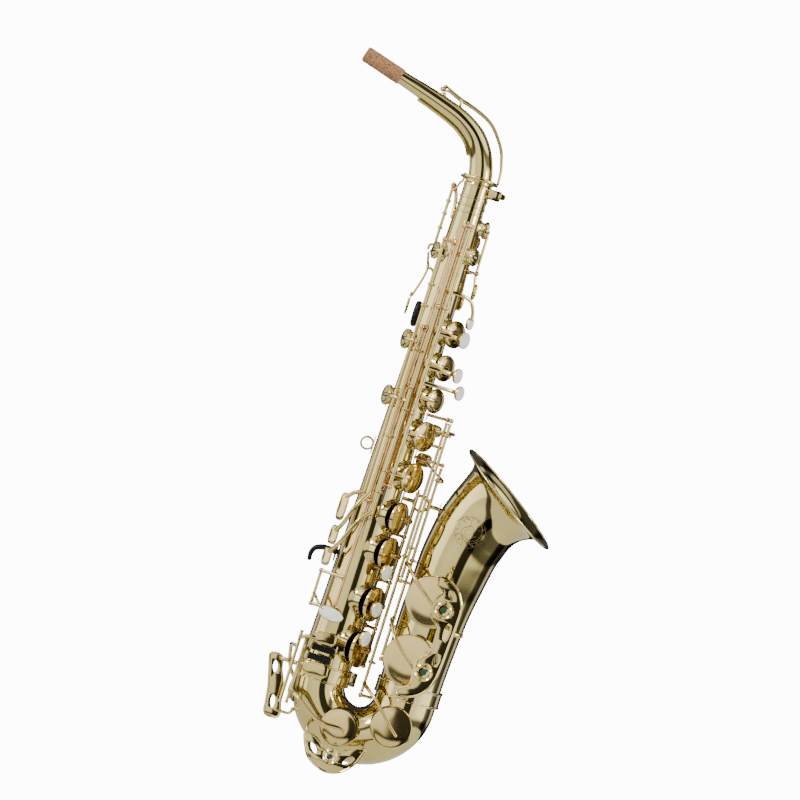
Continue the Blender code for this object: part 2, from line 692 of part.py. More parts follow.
def bell_posts():
    """Four brackets that carry the ends of the three long bell-key rods."""
    a, b, c = BELL_LINES
    node("bell_rod_post_top", [
        block((19.8, -2.5, 226), (24, 2.5, 236)), wire(((21, 0, 229), (36, -5, 228.5), (*c, 228)), 1.8),
        bar((*c, 228), (*a, 228), 1.8), ball((*c, 228), 2.6), ball((*a, 228), 2.6),
    ], BRASS, (*c, 228))
    node("bell_rod_post_upper", [
        block((20.5, 3, 266), (24, 9, 280)), wire(((22, 6, 273), (40, 6, 273), (50, 3, 273), (*b, 273)), 1.8),
        ball((*b, 273), 2.6),
    ], BRASS, (*b, 273))
    node("bell_rod_post_middle", [
        wire(((*a, 394.5), (54, -17, 394.5), (57.5, -17, 394.5)), 1.8), ball((*a, 394.5), 2.6),
        block((56.6, -20, 388), (58.0, -15.5, 401)),
    ], BRASS, (*a, 394.5))
    node("bell_rod_post_lower", [
        wire(((*b, 474.5), (53.5, -10, 474.5)), 1.8),
        ball((*b, 474.7), 2.6),
        block((53.6, -13.5, 468), (55.2, -6.5, 481)),
    ], BRASS, (*b, 474.5))
    node("bell_rod_post_bow", [
        wire(((*c, 515.6), (47.5, -4, 515.6), (53.4, -3, 515.6)), 1.8), ball((*c, 515.6), 2.6),
        block((52.4, -6.5, 510.5), (53.8, 0.5, 519)),
    ], BRASS, (*c, 515.6))


def bell_key(name, line, v_from, v_to, cup_place, tube_r, arm, table_arm, table_v, opening):
    x, v, r = cup_place
    base = (x, 0.0, v)
    crown = crown_of(base, RIGHT_SIDE, tube_r)
    shapes = [bar((*line, v_from), (*line, v_to), 2.0), *cup(base, RIGHT_SIDE, r, tube_r)]
    shapes.append(wire([*arm, along(crown, RIGHT_SIDE, 1.2)], 2.1))
    shapes.append(wire(table_arm, 1.7))
    end = table_arm[-1]
    shapes.append(block((end[0] - 9, end[1] - 1, table_v[0]), (end[0] + 8, end[1] + 2.4, table_v[1])))
    node(name, shapes, KEY_BRASS, (*line, v), (), ((0, 0, 1), -opening))


def bell_keys():
    a, b, c = BELL_LINES
    bell_key("low_bb_key", a, 231.0, 391.5, LOW_BB_CUP, 34.0,
             ((*a, 376), (50, -28, 377), (62, -44, 388)),
             ((*a, 240), (51, -5, 240), (44, 16, 241), (27, 31, 243)), (236, 249), BELL_OPEN)
    bell_key("low_b_key", b, 276.0, 471.4, LOW_B_CUP, 31.6,
             ((*b, 432), (51, -26, 435), (62, -41, 450)),
             ((*b, 290), (54, 4, 288), (45, 22, 284), (27, 31, 274)), (267, 281), BELL_OPEN)
    bell_key("low_c_sharp_key", c, 231.0, 512.6, LOW_CS_CUP, 31.0,
             ((*c, 503), (44, -24, 504), (58, -40, 514)),
             ((*c, 257), (45, 5, 257), (39, 20, 257), (27, 31, 258)), (252, 264), 0.0)


def low_keys():
    line = LOW_C_LINE
    x, v, r = LOW_C_CUP
    base = (x, 0.0, v)
    crown = crown_of(base, RIGHT_SIDE, 29.0)
    shapes = [bar((*line, 476), (*line, 544), 2.1), *cup(base, RIGHT_SIDE, r, 29.0)]
    shapes.append(wire(((*line, 530), (-16, -36, 534), (10, -41, 549), along(crown, RIGHT_SIDE, 1.2)), 2.1))
    shapes.append(wire(((*line, 501), (-22, -31, 501), (-16, -33, 501)), 1.9))
    shapes.append(block((-20, -35.5, 495.4), (5, -32.5, 510)))
    shapes.append(block((-21.5, -35.5, 487), (-19.5, -30.5, 498)))
    shapes.append(block((4.5, -35.5, 487), (6.5, -30.5, 498)))
    node("low_c_key", shapes, KEY_BRASS, (*line, 510), (), ((0, 0, 1), -LOW_C_OPEN))
    line = LOW_EB_LINE
    x, v, _ = bow_point(LOW_EB_ANGLE)
    base = (x, 0.0, v)
    crown = along(crown_of(base, EB_OUT, 26.5), EB_OUT, 0.8)
    shapes = [bar((*line, 471), (*line, 546), 2.1), *cup(base, EB_OUT, LOW_EB_R, 26.5)]
    shapes.append(wire(((*line, 488), (-38, -2, 488), (-39, 8, 492), (-34, 24, 512), crown), 2.0))
    shapes.append(wire(((*line, 480), (-32, -30, 477), (-26, -36, 473), (-18, -36, 472)), 1.7))
    shapes.append(block((-20, -37.5, 469), (6, -34.0, 476.8)))
    shapes.append(block((-21.5, -37.5, 474), (-19.5, -32.5, 485)))
    shapes.append(block((4.5, -37.5, 474), (6.5, -32.5, 485)))
    node("low_eb_key", shapes, KEY_BRASS, (*line, 510))


def inner_side(index, distance):
    """(x, 0, v) off a neck section, distance mm from the centreline on the player's side of the bend."""
    x, v, _ = NECK_SECTIONS[index]
    before, after = NECK_SECTIONS[index - 1], NECK_SECTIONS[index + 1]
    run = Vector((after[0] - before[0], after[1] - before[1])).normalized()
    return x + run.y * distance, 0.0, v - run.x * distance


def neck():
    # The tenon is the neck's own lower end, which slides into the receiver.
    x, v, r = NECK_SECTIONS[0]
    outer = loft(path_rings(NECK_SECTIONS, 0.0), 16, True)
    tenon = bar((0, 0, NECK_TENON_END), (0, 0, v - 1), 12.1, sides=16)
    collar = bar((0, 0, -8.5), (0, 0, -12.5), 13.6, sides=16)
    pip = bar((-60, 0, -78), (-60.6, 0, -83.6), 2.8, sides=10)
    sections = [(0.0, -8.6, 12.0), *NECK_SECTIONS[1:]]
    end = NECK_SECTIONS[-1]
    before = NECK_SECTIONS[-2]
    run = Vector((end[0] - before[0], end[1] - before[1])).normalized()
    sections[-1] = (end[0] + run.x * 2, end[1] + run.y * 2, end[2])
    bore = loft(path_rings(sections, -WALL), 16, True)
    tenon_bore = bar((0, 0, NECK_TENON_END + 2), (0, 0, -9.5), 11.1, sides=16)
    pip_bore = bar((-59.6, 0, -74), (-60.8, 0, -86), 1.3, sides=8)
    node("neck_tube", [outer, tenon, collar, pip], BRASS, (0, 0, 0), [bore, tenon_bore, pip_bore])

    start = (-106.0, -84.8)
    finish = (-146.3, -96.5)
    solid = loft([ring_of(*start, -40.3, -11.7, 8.3), ring_of(*finish, -40.3, -11.7, 8.3)], 20, True)
    hole = loft([ring_of(-105, -84.5, -40.3, -11.7, 7.55), ring_of(-148, -97, -40.3, -11.7, 7.4)], 20, True)
    node("neck_cork", [solid], CORK, (-106, 0, -84.8), [hole])

    spine = [inner_side(i, NECK_SECTIONS[i][2] + 2.6) for i in range(3, 9)]
    node("neck_brace", [wire(spine, 2.0, 2)], BRASS, spine[0])


def neck_octave_key():
    pivot = (-41.0, 0.0, -80.0)
    cap = bar((-60.6, 0, -84.1), (-61.2, 0, -89.5), 4.6, 3.8, sides=12)
    arm = wire(
        ((-61, 0, -88.4), (-50, 0, -84), (-41, 0, -80.5), (-30, 0, -77.5), (-15, 0, -72), (-5, 0, -66),
         (2, 0, -59), (8.5, 0, -50), (12.5, 0, -42), (15.4, 0, -33), (17.8, 0, -24), (18.6, 0, -10)), 1.6, 1,
    )
    hub = bar((-41, -3.2, -80), (-41, 3.2, -80), 2.2)
    # The loop round the neck, which the octave peg pushes outwards
    solid = bar((0, 0, -8.5), (0, 0, -11.5), OCTAVE_LOOP_R + 1.5, sides=20)
    hole = bar((0, 0, -5), (0, 0, -15), OCTAVE_LOOP_R - 1.5, sides=20)
    node("neck_octave_key", [arm, cap, hub, solid], KEY_BRASS, pivot, [hole])


def plate(outline, y, thickness, windows):
    """Flat plate facing the player's right: an outline of (x, v) points, with round-ended windows cut out."""
    def sheet(points, depth):
        curve = bpy.data.curves.new("plate", "CURVE")
        curve.dimensions = "2D"
        curve.fill_mode = "BOTH"
        curve.extrude = depth / 2 * MM
        line = curve.splines.new("POLY")
        line.points.add(len(points) - 1)
        line.use_cyclic_u = True
        for spot, (x, v) in zip(line.points, points):
            spot.co = ((x - STRAP_RING.x) * MM, (STRAP_RING.z - v) * MM, 0.0, 1.0)
        holder = shape("plate", curve)
        holder.matrix_world = Matrix.Translation((0, y * MM, 0)) @ Matrix.Rotation(math.pi / 2, 4, "X")
        made = meshed(holder)
        made.data.transform(made.matrix_world)
        made.matrix_world = Matrix.Identity(4)
        return made

    return sheet(outline, thickness), [sheet(window, thickness * 3) for window in windows]


def leaf(x, v, length, width, lean, points=10):
    """Outline of a window with pointed ends, length along v before it leans by so many degrees."""
    turn = math.radians(lean)
    spots = []
    for i in range(points):
        angle = 2 * math.pi * i / points
        along_v = length / 2 * math.cos(angle)
        across = width / 2 * math.sin(angle)
        spots.append((x + across * math.cos(turn) - along_v * math.sin(turn),
                      v + along_v * math.cos(turn) + across * math.sin(turn)))
    return spots


def bumper(name, x, v, y, r=5.6):
    node(name, [bar((x, y - 2.4, v), (x, y + 3.2, v), r, sides=14)], FELT, (x, y, v))


def guards():
    outline = (
        (80, 377), (90, 378), (100, 383), (106, 391), (110, 402), (110, 420), (109, 440), (108, 460), (106, 476),
        (102, 486), (95, 494), (85, 499), (75, 500), (74, 494), (83, 488), (84, 478), (84, 462), (93, 452),
        (94, 436), (92, 424), (84, 416), (83, 400), (88, 390), (80, 384),
    )
    holes = [
        leaf(96.4, 391, 11, 4, -30), leaf(102.6, 427, 18, 5, 0), leaf(101, 456, 13, 5, 5),
    ]
    rounds = [(93.5, 407), (93, 471)]
    y = BELL_GUARD_Y
    sheet, windows = plate(outline, y, GUARD_THICKNESS, holes)
    shapes = [sheet]
    for x, v in rounds:
        shapes.append(bar((x, y - 1.8, v), (x, y + 1.8, v), 9.5, sides=16))
        windows.append(bar((x, y - 4, v), (x, y + 4, v), 6.1, sides=16))
    shapes.append(wire(((89, y + 1, 381), (90, y + 7, 371), (90, -37.6, 366.5)), 2.0, 1))
    shapes.append(wire(((107.6, y + 1, 427), (118, y + 9, 427), (118.4, -21, 427)), 2.0, 1))
    shapes.append(wire(((83, y + 1, 495), (84, y + 8, 501), (85, -34.8, 503)), 2.0, 1))
    node("bell_key_guard", shapes, BRASS, (109, y, 428), windows, solver="MANIFOLD")
    for name, (x, v) in zip(("bell_bumper_upper", "bell_bumper_lower"), rounds):
        bumper(name, x, v, y)

    outline = (
        (0, 562), (3, 573), (10, 585), (22, 592), (33, 594), (45, 590), (55, 580), (60, 568), (61, 562), (52, 563),
        (44, 568), (38, 574), (24, 574), (17, 568), (9, 563),
    )
    y = LOW_GUARD_Y
    leaves = [leaf(13, 575, 12, 4.4, -40), leaf(48.5, 577, 12, 4.4, 40)]
    sheet, windows = plate(outline, y, GUARD_THICKNESS, leaves)
    shapes = [sheet, bar((31, y - 1.6, 578), (31, y + 1.6, 578), 8.0, sides=16)]
    windows.append(bar((31, y - 4, 578), (31, y + 4, 578), 5.0, sides=16))
    shapes.append(wire(((3, y, 565), (0, y + 6, 557), (2, -26.2, 553)), 2.0, 1))
    shapes.append(wire(((58, y, 566), (58.5, y + 6, 560), (58, -30.4, 557)), 2.0, 1))
    node("low_c_guard", shapes, BRASS, (31, y, 578), windows)
    bumper("low_c_bumper", 31, 578, y, 4.5)

    outline = (
        (-57, 505), (-45, 503), (-41, 516), (-36, 528), (-33, 545), (-30, 562), (-44, 563), (-47, 548), (-50, 530),
    )
    leaves = [leaf(-48, 515, 12, 4.4, -12), leaf(-40, 549, 13, 4.4, -10)]
    sheet, windows = plate(outline, 4.0, GUARD_THICKNESS, leaves)
    feet = [
        wire(((-36, 4, 556), (-22, 4, 556), (-18.5, 4, 551)), 2.0, 1),
        wire(((-46, 4, 505), (-42, -2, 505), (-29.4, -2, 505)), 2.0, 1),
    ]
    node("back_guard", [sheet, *feet], BRASS, (-45, 4, 530), windows)


def swung(x, y, v, line, degrees):
    """The place that (x, y, v) reaches when it swings about a hinge line."""
    spot = Matrix.Rotation(math.radians(degrees), 2) @ Vector((x - line[0], y - line[1]))
    return line[0] + spot.x, line[1] + spot.y, v


def rollers():
    for name, y, v, opening in (
        ("low_c_roller", -33.0, 491.0, LOW_C_OPEN),
        ("low_eb_roller", -35.0, 481.0, 0.0),
    ):
        def spot(x):
            return swung(x, y, v, LOW_C_LINE, -opening)

        shapes = [bar(spot(-19.0), spot(4.0), 3.1, sides=10)]
        shapes += [bar(spot(-16 + 6 * i), spot(-13 + 6 * i), 3.6, sides=10) for i in range(3)]
        node(name, shapes, BLACK, spot(-7.5))


def build():
    body_tube()
    bow()
    bell()
    receiver()
    neck_screw()
    bands()
    bell_brace()
    strap_ring()
    thumb_pieces()
    stack_posts()
    stack_keys()
    top_keys()
    side_keys()
    trill_key()
    palm_keys()
    octave_parts()
    bell_posts()
    bell_keys()
    low_keys()
    neck()
    neck_octave_key()
    guards()
    rollers()


for old in list(bpy.data.objects):
    bpy.data.objects.remove(old)
for group in (parts, cutters):
    bpy.context.scene.collection.children.link(group)
build()
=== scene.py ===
"""Looks of the alto saxophone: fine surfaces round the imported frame, with their materials, light and camera.

Places are (x, y, v) in millimetres about the body tube's axis, as in part.py: x towards the bell, y towards the
player's left side, v downwards from the neck joint. The frame's origin is the centre of the strap ring.
"""

import math

import bmesh
import bpy
from mathutils import Matrix, Vector
from mathutils.bvhtree import BVHTree


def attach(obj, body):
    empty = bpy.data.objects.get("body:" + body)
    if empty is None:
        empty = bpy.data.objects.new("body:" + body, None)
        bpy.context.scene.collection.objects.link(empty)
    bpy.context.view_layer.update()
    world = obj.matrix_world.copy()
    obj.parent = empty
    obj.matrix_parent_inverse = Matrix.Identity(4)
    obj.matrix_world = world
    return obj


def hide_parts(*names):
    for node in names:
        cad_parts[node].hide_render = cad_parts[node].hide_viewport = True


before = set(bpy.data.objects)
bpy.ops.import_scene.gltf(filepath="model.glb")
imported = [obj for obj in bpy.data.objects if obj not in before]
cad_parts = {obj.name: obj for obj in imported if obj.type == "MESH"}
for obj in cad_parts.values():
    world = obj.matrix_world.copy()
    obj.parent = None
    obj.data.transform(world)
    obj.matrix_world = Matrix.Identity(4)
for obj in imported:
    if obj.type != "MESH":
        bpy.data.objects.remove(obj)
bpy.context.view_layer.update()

MM = 0.001
STRAP_RING = Vector((-28.0, 0.0, 274.0))
# Body tube, and the tone holes and cups on every tube
BODY_TOP_R = 13.5
BODY_TAPER = 0.0245
BODY_START = 26.0
BODY_END = 500.0
WALL = 1.0
CHIMNEY = 4.0
GAP = 0.4
CUP_DEPTH = 6.0
CUP_MARGIN = 2.0
BORE_MARGIN = 3.2
CAP_BULGE = 0.8
GUARD_THICKNESS = 1.6
# Bow: centre (x, v) and radius of its bend, and its tube radius at both ends
BOW_CENTRE = (43.0, 513.0)
BOW_R = 43.5
BOW_TUBE_R = (25.2, 31.2)
# Bell rings: x, v, tilt to the front, turn to the player's right, radius
BELL_SECTIONS = (
    (86.5, 499.6, 0, 0, 31.2), (86.6, 470, 0, 0, 31.9), (87.6, 425, 0, 0, 33.6), (89.5, 400, 0, 0, 34.5),
    (91.0, 383, 1, 0, 35.8), (93.0, 362, 4, 0, 37.1), (95.5, 345, 11, 0, 37.7), (99.0, 330, 19, 0.5, 39.0),
    (104.0, 315, 25, 1.5, 39.6), (111.0, 302, 30, 3, 41.4), (118.0, 292.5, 33, 4.5, 45.4),
    (121.3, 288.6, 33.7, 5.2, 49.5), (123.2, 286.2, 34, 5.7, 56.0), (124.5, 284.8, 34, 6, 62.2),
)
# Neck rings: x, v, radius
NECK_SECTIONS = (
    (0.0, -8.6, 12.0), (-0.6, -14, 12.1), (-3.0, -24, 11.9), (-8.0, -37, 11.3), (-16.0, -48.5, 10.7),
    (-27.0, -57.5, 10.1), (-40.0, -64.5, 9.6), (-60.0, -71.5, 8.9), (-80.0, -77.5, 8.2),
    (-105.0, -84.5, 7.2), (-147.0, -96.7, 7.0),
)
OCTAVE_LOOP_R = 18.6
# Hinge lines, as (x, y)
UPPER_LINE = (6.5, -28.0)
LOWER_LINE = (36.0, -3.0)
SIDE_LINES = ((-15.5, -21.5), (-10.5, -24.8), (-2.5, -27.2))
BELL_LINES = ((45.5, -17.0), (50.5, -10.5), (42.0, -8.5))
OCTAVE_LINE = (-23.5, 6.0)
LOW_EB_LINE = (-33.0, -13.0)
LOW_C_LINE = (-26.5, -22.5)
HINGE_R = 2.4
# Degrees: the ways round the body that the stacks face, and how far keys stand open at rest
UPPER_PHI = 31.0
LOWER_PHI = 38.0
STACK_OPEN = 10.0
BELL_OPEN = 7.0
LOW_C_OPEN = 5.0
RIGHT_SIDE = (0.0, -1.0)
X_AXIS = Vector((1.0, 0.0, 0.0))
Y_AXIS = Vector((0.0, 1.0, 0.0))
Z_AXIS = Vector((0.0, 0.0, 1.0))
TO_RIGHT = -Y_AXIS


def point(x, y, v):
    return Vector((x - STRAP_RING.x, y - STRAP_RING.y, STRAP_RING.z - v)) * MM


def body_radius(v):
    return BODY_TOP_R + BODY_TAPER * v


def around(phi):
    """Outward (x, y) direction at phi degrees round the body, from the bell towards the player's right."""
    return math.cos(math.radians(phi)), -math.sin(math.radians(phi))


def halfway(a, b):
    return [(p + q) / 2 for p, q in zip(a, b)]


def along(base, out, distance):
    return base[0] + out[0] * distance, base[1] + out[1] * distance, base[2]


def circle(count):
    """Cosine and sine of count equal steps round a circle."""
    return [(math.cos(2 * math.pi * i / count), math.sin(2 * math.pi * i / count)) for i in range(count)]


def oval(r, wide, tall, count):
    """Section of a ring of radius r, for a turned loop."""
    return [(r + wide * c, tall * s) for c, s in circle(count)]


def placed(name, data):
    made = bpy.data.objects.new(name, data)
    bpy.context.scene.collection.objects.link(made)
    return made


def smoothed(values, per_span):
    """Catmull-Rom curve through tuples of numbers, per_span steps between each two."""
    rows = [Vector(value) for value in values]
    if len(rows) < 3:
        per_span = 1
    found = []
    for i in range(len(rows) - 1):
        p0 = rows[max(i - 1, 0)]
        p1, p2 = rows[i], rows[i + 1]
        p3 = rows[min(i + 2, len(rows) - 1)]
        for step in range(per_span):
            t = step / per_span
            found.append(0.5 * ((2 * p1) + (p2 - p0) * t + (2 * p0 - 5 * p1 + 4 * p2 - p3) * t * t
                                + (3 * p1 - p0 - 3 * p2 + p3) * t ** 3))
    found.append(rows[-1])
    return found


# Materials


def shader_of(name):
    made = bpy.data.materials.new(name)
    made.use_nodes = True
    tree = made.node_tree
    return made, tree, tree.nodes["Principled BSDF"]


def node(tree, kind, inputs, **settings):
    """A new shader node. Each of its inputs is given an output to link to, or a plain value."""
    made = tree.nodes.new("ShaderNode" + kind)
    for key, value in settings.items():
        setattr(made, key, value)
    fill(tree, made, inputs)
    return made


def fill(tree, made, inputs):
    for key, value in inputs.items():
        if isinstance(value, bpy.types.NodeSocket):
            tree.links.new(value, made.inputs[key])
        else:
            made.inputs[key].default_value = value


def noise(tree, scale, detail=3.0):
    place = node(tree, "TexCoord", {}).outputs["Object"]
    return node(tree, "TexNoise", {"Vector": place, "Scale": scale, "Detail": detail}).outputs["Fac"]


def ramp(tree, factor, stops):
    made = tree.nodes.new("ShaderNodeValToRGB")
    elements = made.color_ramp.elements
    while len(elements) < len(stops):
        elements.new(0.5)
    for element, (place, colour) in zip(elements, stops):
        element.position = place
        element.color = (*colour, 1.0)
    tree.links.new(factor, made.inputs["Fac"])
    return made.outputs["Color"]


def spread(tree, value, low, high, start=0.0, end=1.0):
    inputs = {"Value": value, "From Min": start, "From Max": end, "To Min": low, "To Max": high}
    return node(tree, "MapRange", inputs).outputs["Result"]


def bumped(tree, height, strength, distance):
    return node(tree, "Bump", {"Height": height, "Strength": strength, "Distance": distance}).outputs["Normal"]


def lacquered(name, deep, pale, rough):
    """Lacquered brass: slow colour drift, faint cloudiness in the lacquer and fine handling marks."""
    made, tree, shader = shader_of(name)
    fill(tree, shader, {
        "Base Color": ramp(tree, noise(tree, 14.0, 4.0), ((0.32, deep), (0.68, pale))), "Metallic": 1.0,
        "Roughness": spread(tree, noise(tree, 60.0, 5.0), *rough), "Coat Weight": 0.35, "Coat Roughness": 0.06,
        "Normal": bumped(tree, noise(tree, 900.0, 2.0), 0.04, 0.00004),
    })
    return made


def corky():
    made, tree, shader = shader_of("natural_cork")
    grain = noise(tree, 700.0, 6.0)
    colours = ((0.34, (0.05, 0.02, 0.008)), (0.42, (0.24, 0.11, 0.045)), (0.55, (0.36, 0.18, 0.075)),
               (0.75, (0.45, 0.25, 0.12)))
    fill(tree, shader, {"Base Color": ramp(tree, grain, colours), "Roughness": 0.9,
                        "Normal": bumped(tree, grain, 0.9, 0.0006)})
    return made


def pearly():
    made, tree, shader = shader_of("mother_of_pearl")
    swirl = noise(tree, 130.0, 5.0)
    colours = ((0.25, (0.80, 0.78, 0.73)), (0.5, (0.95, 0.94, 0.91)), (0.75, (0.88, 0.90, 0.91)))
    fill(tree, shader, {"Base Color": ramp(tree, swirl, colours), "Roughness": 0.22, "Coat Weight": 0.5,
                        "Sheen Weight": 0.1, "Normal": bumped(tree, swirl, 0.05, 0.0001)})
    return made


def plain(name, deep, pale, scale, rough, bump, metallic=0.0, shine=0.5):
    """A material with a fine grain from a deep to a pale colour: plastic, felt, leather or steel."""
    made, tree, shader = shader_of(name)
    grain = noise(tree, scale, 5.0)
    fill(tree, shader, {"Base Color": ramp(tree, grain, ((0.3, deep), (0.7, pale))), "Metallic": metallic,
                        "Specular IOR Level": shine, "Roughness": spread(tree, grain, *rough),
                        "Normal": bumped(tree, grain, *bump)})
    return made


BRASS = lacquered("body_lacquer", (0.50, 0.40, 0.13), (0.63, 0.52, 0.20), (0.05, 0.11))
KEY_BRASS = lacquered("key_lacquer", (0.56, 0.42, 0.13), (0.69, 0.54, 0.21), (0.07, 0.14))
ROD_BRASS = lacquered("rod_lacquer", (0.62, 0.38, 0.14), (0.76, 0.52, 0.25), (0.10, 0.18))
STEEL = plain("blued_steel", (0.16, 0.15, 0.14), (0.34, 0.32, 0.29), 300, (0.22, 0.36), (0.05, 1e-4), 1.0)
BLACK = plain("black_plastic", (0.002, 0.002, 0.002), (0.006, 0.006, 0.007), 600, (0.22, 0.38), (0.08, 1e-4), 0.0, 0.18)
FELT = plain("green_felt", (0.003, 0.030, 0.012), (0.012, 0.085, 0.036), 1500, (0.9, 1.0), (0.9, 5e-4))
PAD = plain("pad_leather", (0.30, 0.17, 0.09), (0.52, 0.34, 0.20), 400, (0.55, 0.75), (0.4, 2e-4))
ENGRAVED = plain("engraved_line", (0.10, 0.08, 0.03), (0.20, 0.16, 0.07), 900, (0.35, 0.5), (0.2, 1e-4), 1.0)
CORK = corky()
PEARL = pearly()


# Shapes


class Form:
    """Collects turned, swept and lofted shapes into the mesh of one piece."""

    def __init__(self):
        self.bm = bmesh.new()

    def skin(self, rows, ends=(True, True), loop=False):
        """Faces between rows of points, each a closed ring or a single point."""
        made = [[self.bm.verts.new(spot) for spot in row] for row in rows]
        pairs = list(zip(made, made[1:]))
        if loop:
            pairs.append((made[-1], made[0]))
        for low, high in pairs:
            count = max(len(low), len(high))
            for i in range(count):
                j = (i + 1) % count
                if len(low) == 1:
                    self.bm.faces.new((low[0], high[j], high[i]))
                elif len(high) == 1:
                    self.bm.faces.new((low[i], low[j], high[0]))
                else:
                    self.bm.faces.new((low[i], low[j], high[j], high[i]))
        if not loop:
            for row, wanted in ((made[0], ends[0]), (made[-1], ends[1])):
                if wanted and len(row) > 2:
                    self.bm.faces.new(row)

    def turned(self, origin, axis, profile, segments=28, loop=False, ends=(True, True)):
        """Profile of (radius, height) pairs turned about the world vector axis through (x, y, v) origin."""
        centre = point(*origin)
        up = axis.normalized()
        side = up.orthogonal().normalized()
        front = up.cross(side)
        rows = []
        for r, height in profile:
            middle = centre + up * height * MM
            if r < 0.01:
                rows.append([middle])
                continue
            rows.append([middle + (side * c + front * s) * r * MM for c, s in circle(segments)])
        self.skin(rows, ends, loop)

    def sweep(self, places, r, segments=12, flat=1.0, up=None, per_span=6, cap=True, taper=None):
        """Round or flattened rod through places. flat is its thickness along up over its width."""
        line = [point(*p) for p in smoothed(places, per_span)]
        tangents = []
        for i in range(len(line)):
            tangents.append((line[min(i + 1, len(line) - 1)] - line[max(i - 1, 0)]).normalized())
        normal = (up or tangents[0].orthogonal()).normalized()
        rows = []
        for i, (spot, tangent) in enumerate(zip(line, tangents)):
            normal = (normal - tangent * normal.dot(tangent)).normalized()
            side = tangent.cross(normal)
            share = i / (len(line) - 1)
            width = r if taper is None else r + (taper - r) * share
            ring = [(side * c + normal * s * flat) * width * MM for c, s in circle(segments)]
            rows.append((spot, tangent * width * flat * MM * CAP_BULGE, ring))
        skin = [[spot + offset for offset in ring] for spot, _, ring in rows]
        if cap:
            for turn in (0.6, 1.1, 1.5):
                for (spot, bulge, ring), place, way in ((rows[0], 0, -1), (rows[-1], len(skin) + 1, 1)):
                    end = spot + bulge * math.sin(turn) * way
                    skin.insert(place, [end + offset * math.cos(turn) for offset in ring])
        self.skin(skin)

    def pillow(self, centre, along_axis, face_axis, half_length, half_width, half_depth, power=2.6):
        """Rounded plate: long side along along_axis, its face looking along face_axis, edges softly domed."""
        middle = point(*centre)
        length = along_axis.normalized()
        face = face_axis.normalized()
        across = face.cross(length)
        rings = 8
        rows = [[middle - face * half_depth * MM]]
        for k in range(1, rings):
            lift = -math.cos(math.pi * k / rings)
            size = math.sin(math.pi * k / rings) ** 0.35
            row = []
            for c, s in circle(40):
                u = math.copysign(abs(c) ** (2 / power), c) * half_length * size
                w = math.copysign(abs(s) ** (2 / power), s) * half_width * size
                row.append(middle + (length * u + across * w + face * lift * half_depth) * MM)
            rows.append(row)
        rows.append([middle + face * half_depth * MM])
        self.skin(rows)

    def block(self, low, high, soften):
        a, b = point(*low), point(*high)
        size = [abs(q - p) for p, q in zip(a, b)]
        place = Matrix.Translation((a + b) / 2) @ Matrix.Diagonal((*size, 1.0))
        made = bmesh.ops.create_cube(self.bm, size=1.0, matrix=place)
        edges = list({edge for vert in made["verts"] for edge in vert.link_edges})
        bmesh.ops.bevel(self.bm, geom=edges, offset=soften * MM, segments=2, profile=0.6, affect="EDGES")

    def ball(self, centre, r):
        profile = [(r * math.sin(math.pi * i / 10), -r * math.cos(math.pi * i / 10)) for i in range(11)]
        self.turned(centre, Z_AXIS, profile, 20)

    def mesh(self, name):
        """The form's mesh, with its faces turned outward."""
        bmesh.ops.recalc_face_normals(self.bm, faces=self.bm.faces)
        mesh = bpy.data.meshes.new(name)
        self.bm.to_mesh(mesh)
        self.bm.free()
        return mesh

    def make(self, name, stands_for=(), finish=BRASS, body="body", slot="body_brass", turn=None, about=None, angle=32):
        """The finished piece. turn is in degrees about the line through about along the body's axis."""
        mesh = self.mesh(name)
        if turn:
            home = Matrix.Translation(point(*about))
            mesh.transform(home @ Matrix.Rotation(math.radians(turn), 4, "Z") @ home.inverted())
        piece_of(name, mesh, stands_for, finish, body, angle)


def piece_of(name, mesh, stands_for, finish=BRASS, body="body", angle=40):
    mesh.shade_smooth()
    mesh.set_sharp_from_angle(angle=math.radians(angle))
    mesh.materials.clear()
    mesh.materials.append(finish)
    made = placed(name, mesh)
    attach(made, body)
    if stands_for:
        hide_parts(*stands_for)


def world_out(out):
    return Vector((out[0], out[1], 0.0))


# Tubes and the tone holes drawn from them


def chimney(form, tree, base, out, r, top):
    """Drawn tone hole: its foot flares into the tube found by tree and its rim is rolled over."""
    axis = world_out(out)
    side = Vector((-out[1], out[0], 0.0))
    origin = point(*base)
    segments = 56
    rows = []
    for extra, share in ((2.6, -0.06), (1.7, 0.06), (0.9, 0.22), (0.35, 0.5), (0.05, 0.85)):
        row = []
        for c, s in circle(segments):
            offset = (side * c + Z_AXIS * s) * (r + extra) * MM
            hit = tree.ray_cast(origin + offset + axis * (top + 25) * MM, -axis)
            surface = (hit[0] - origin - offset).dot(axis) / MM if hit[0] else top - CHIMNEY
            surface = max(surface, top - 20)
            height = surface + (top - surface) * share if share > 0 else surface - 0.3
            row.append(origin + offset + axis * height * MM)
        rows.append(row)
    for extra, height in ((0.0, -0.7), (0.25, -0.25), (0.1, 0.0), (-0.6, -0.05), (-1.1, -0.5), (-1.3, -1.4),
                          (-1.3, -16.0)):
        rows.append([
            origin + ((side * c + Z_AXIS * s) * (r + extra) + axis * (top + height)) * MM for c, s in circle(segments)
        ])
    form.skin(rows, (False, False))


def hole_cutter(base, out, r, start, end):
    cutter = Form()
    cutter.turned(along(base, out, start), world_out(out), ((r, 0), (r, end - start)), 56)
    return placed("cutter", cutter.mesh("cutter"))


def drawn_hole(walls, cutters, tree, base, out, r, tube_r, start):
    """Tone hole for a cup of radius r: its chimney in walls, and its bore from start outwards in cutters."""
    chimney(walls, tree, base, out, r - CUP_MARGIN, tube_r + CHIMNEY)
    cutters.append(hole_cutter(base, out, r - BORE_MARGIN, start, tube_r + CHIMNEY + 3))


def evaluated(holder):
    bpy.context.view_layer.update()
    return bpy.data.meshes.new_from_object(holder.evaluated_get(bpy.context.evaluated_depsgraph_get()))


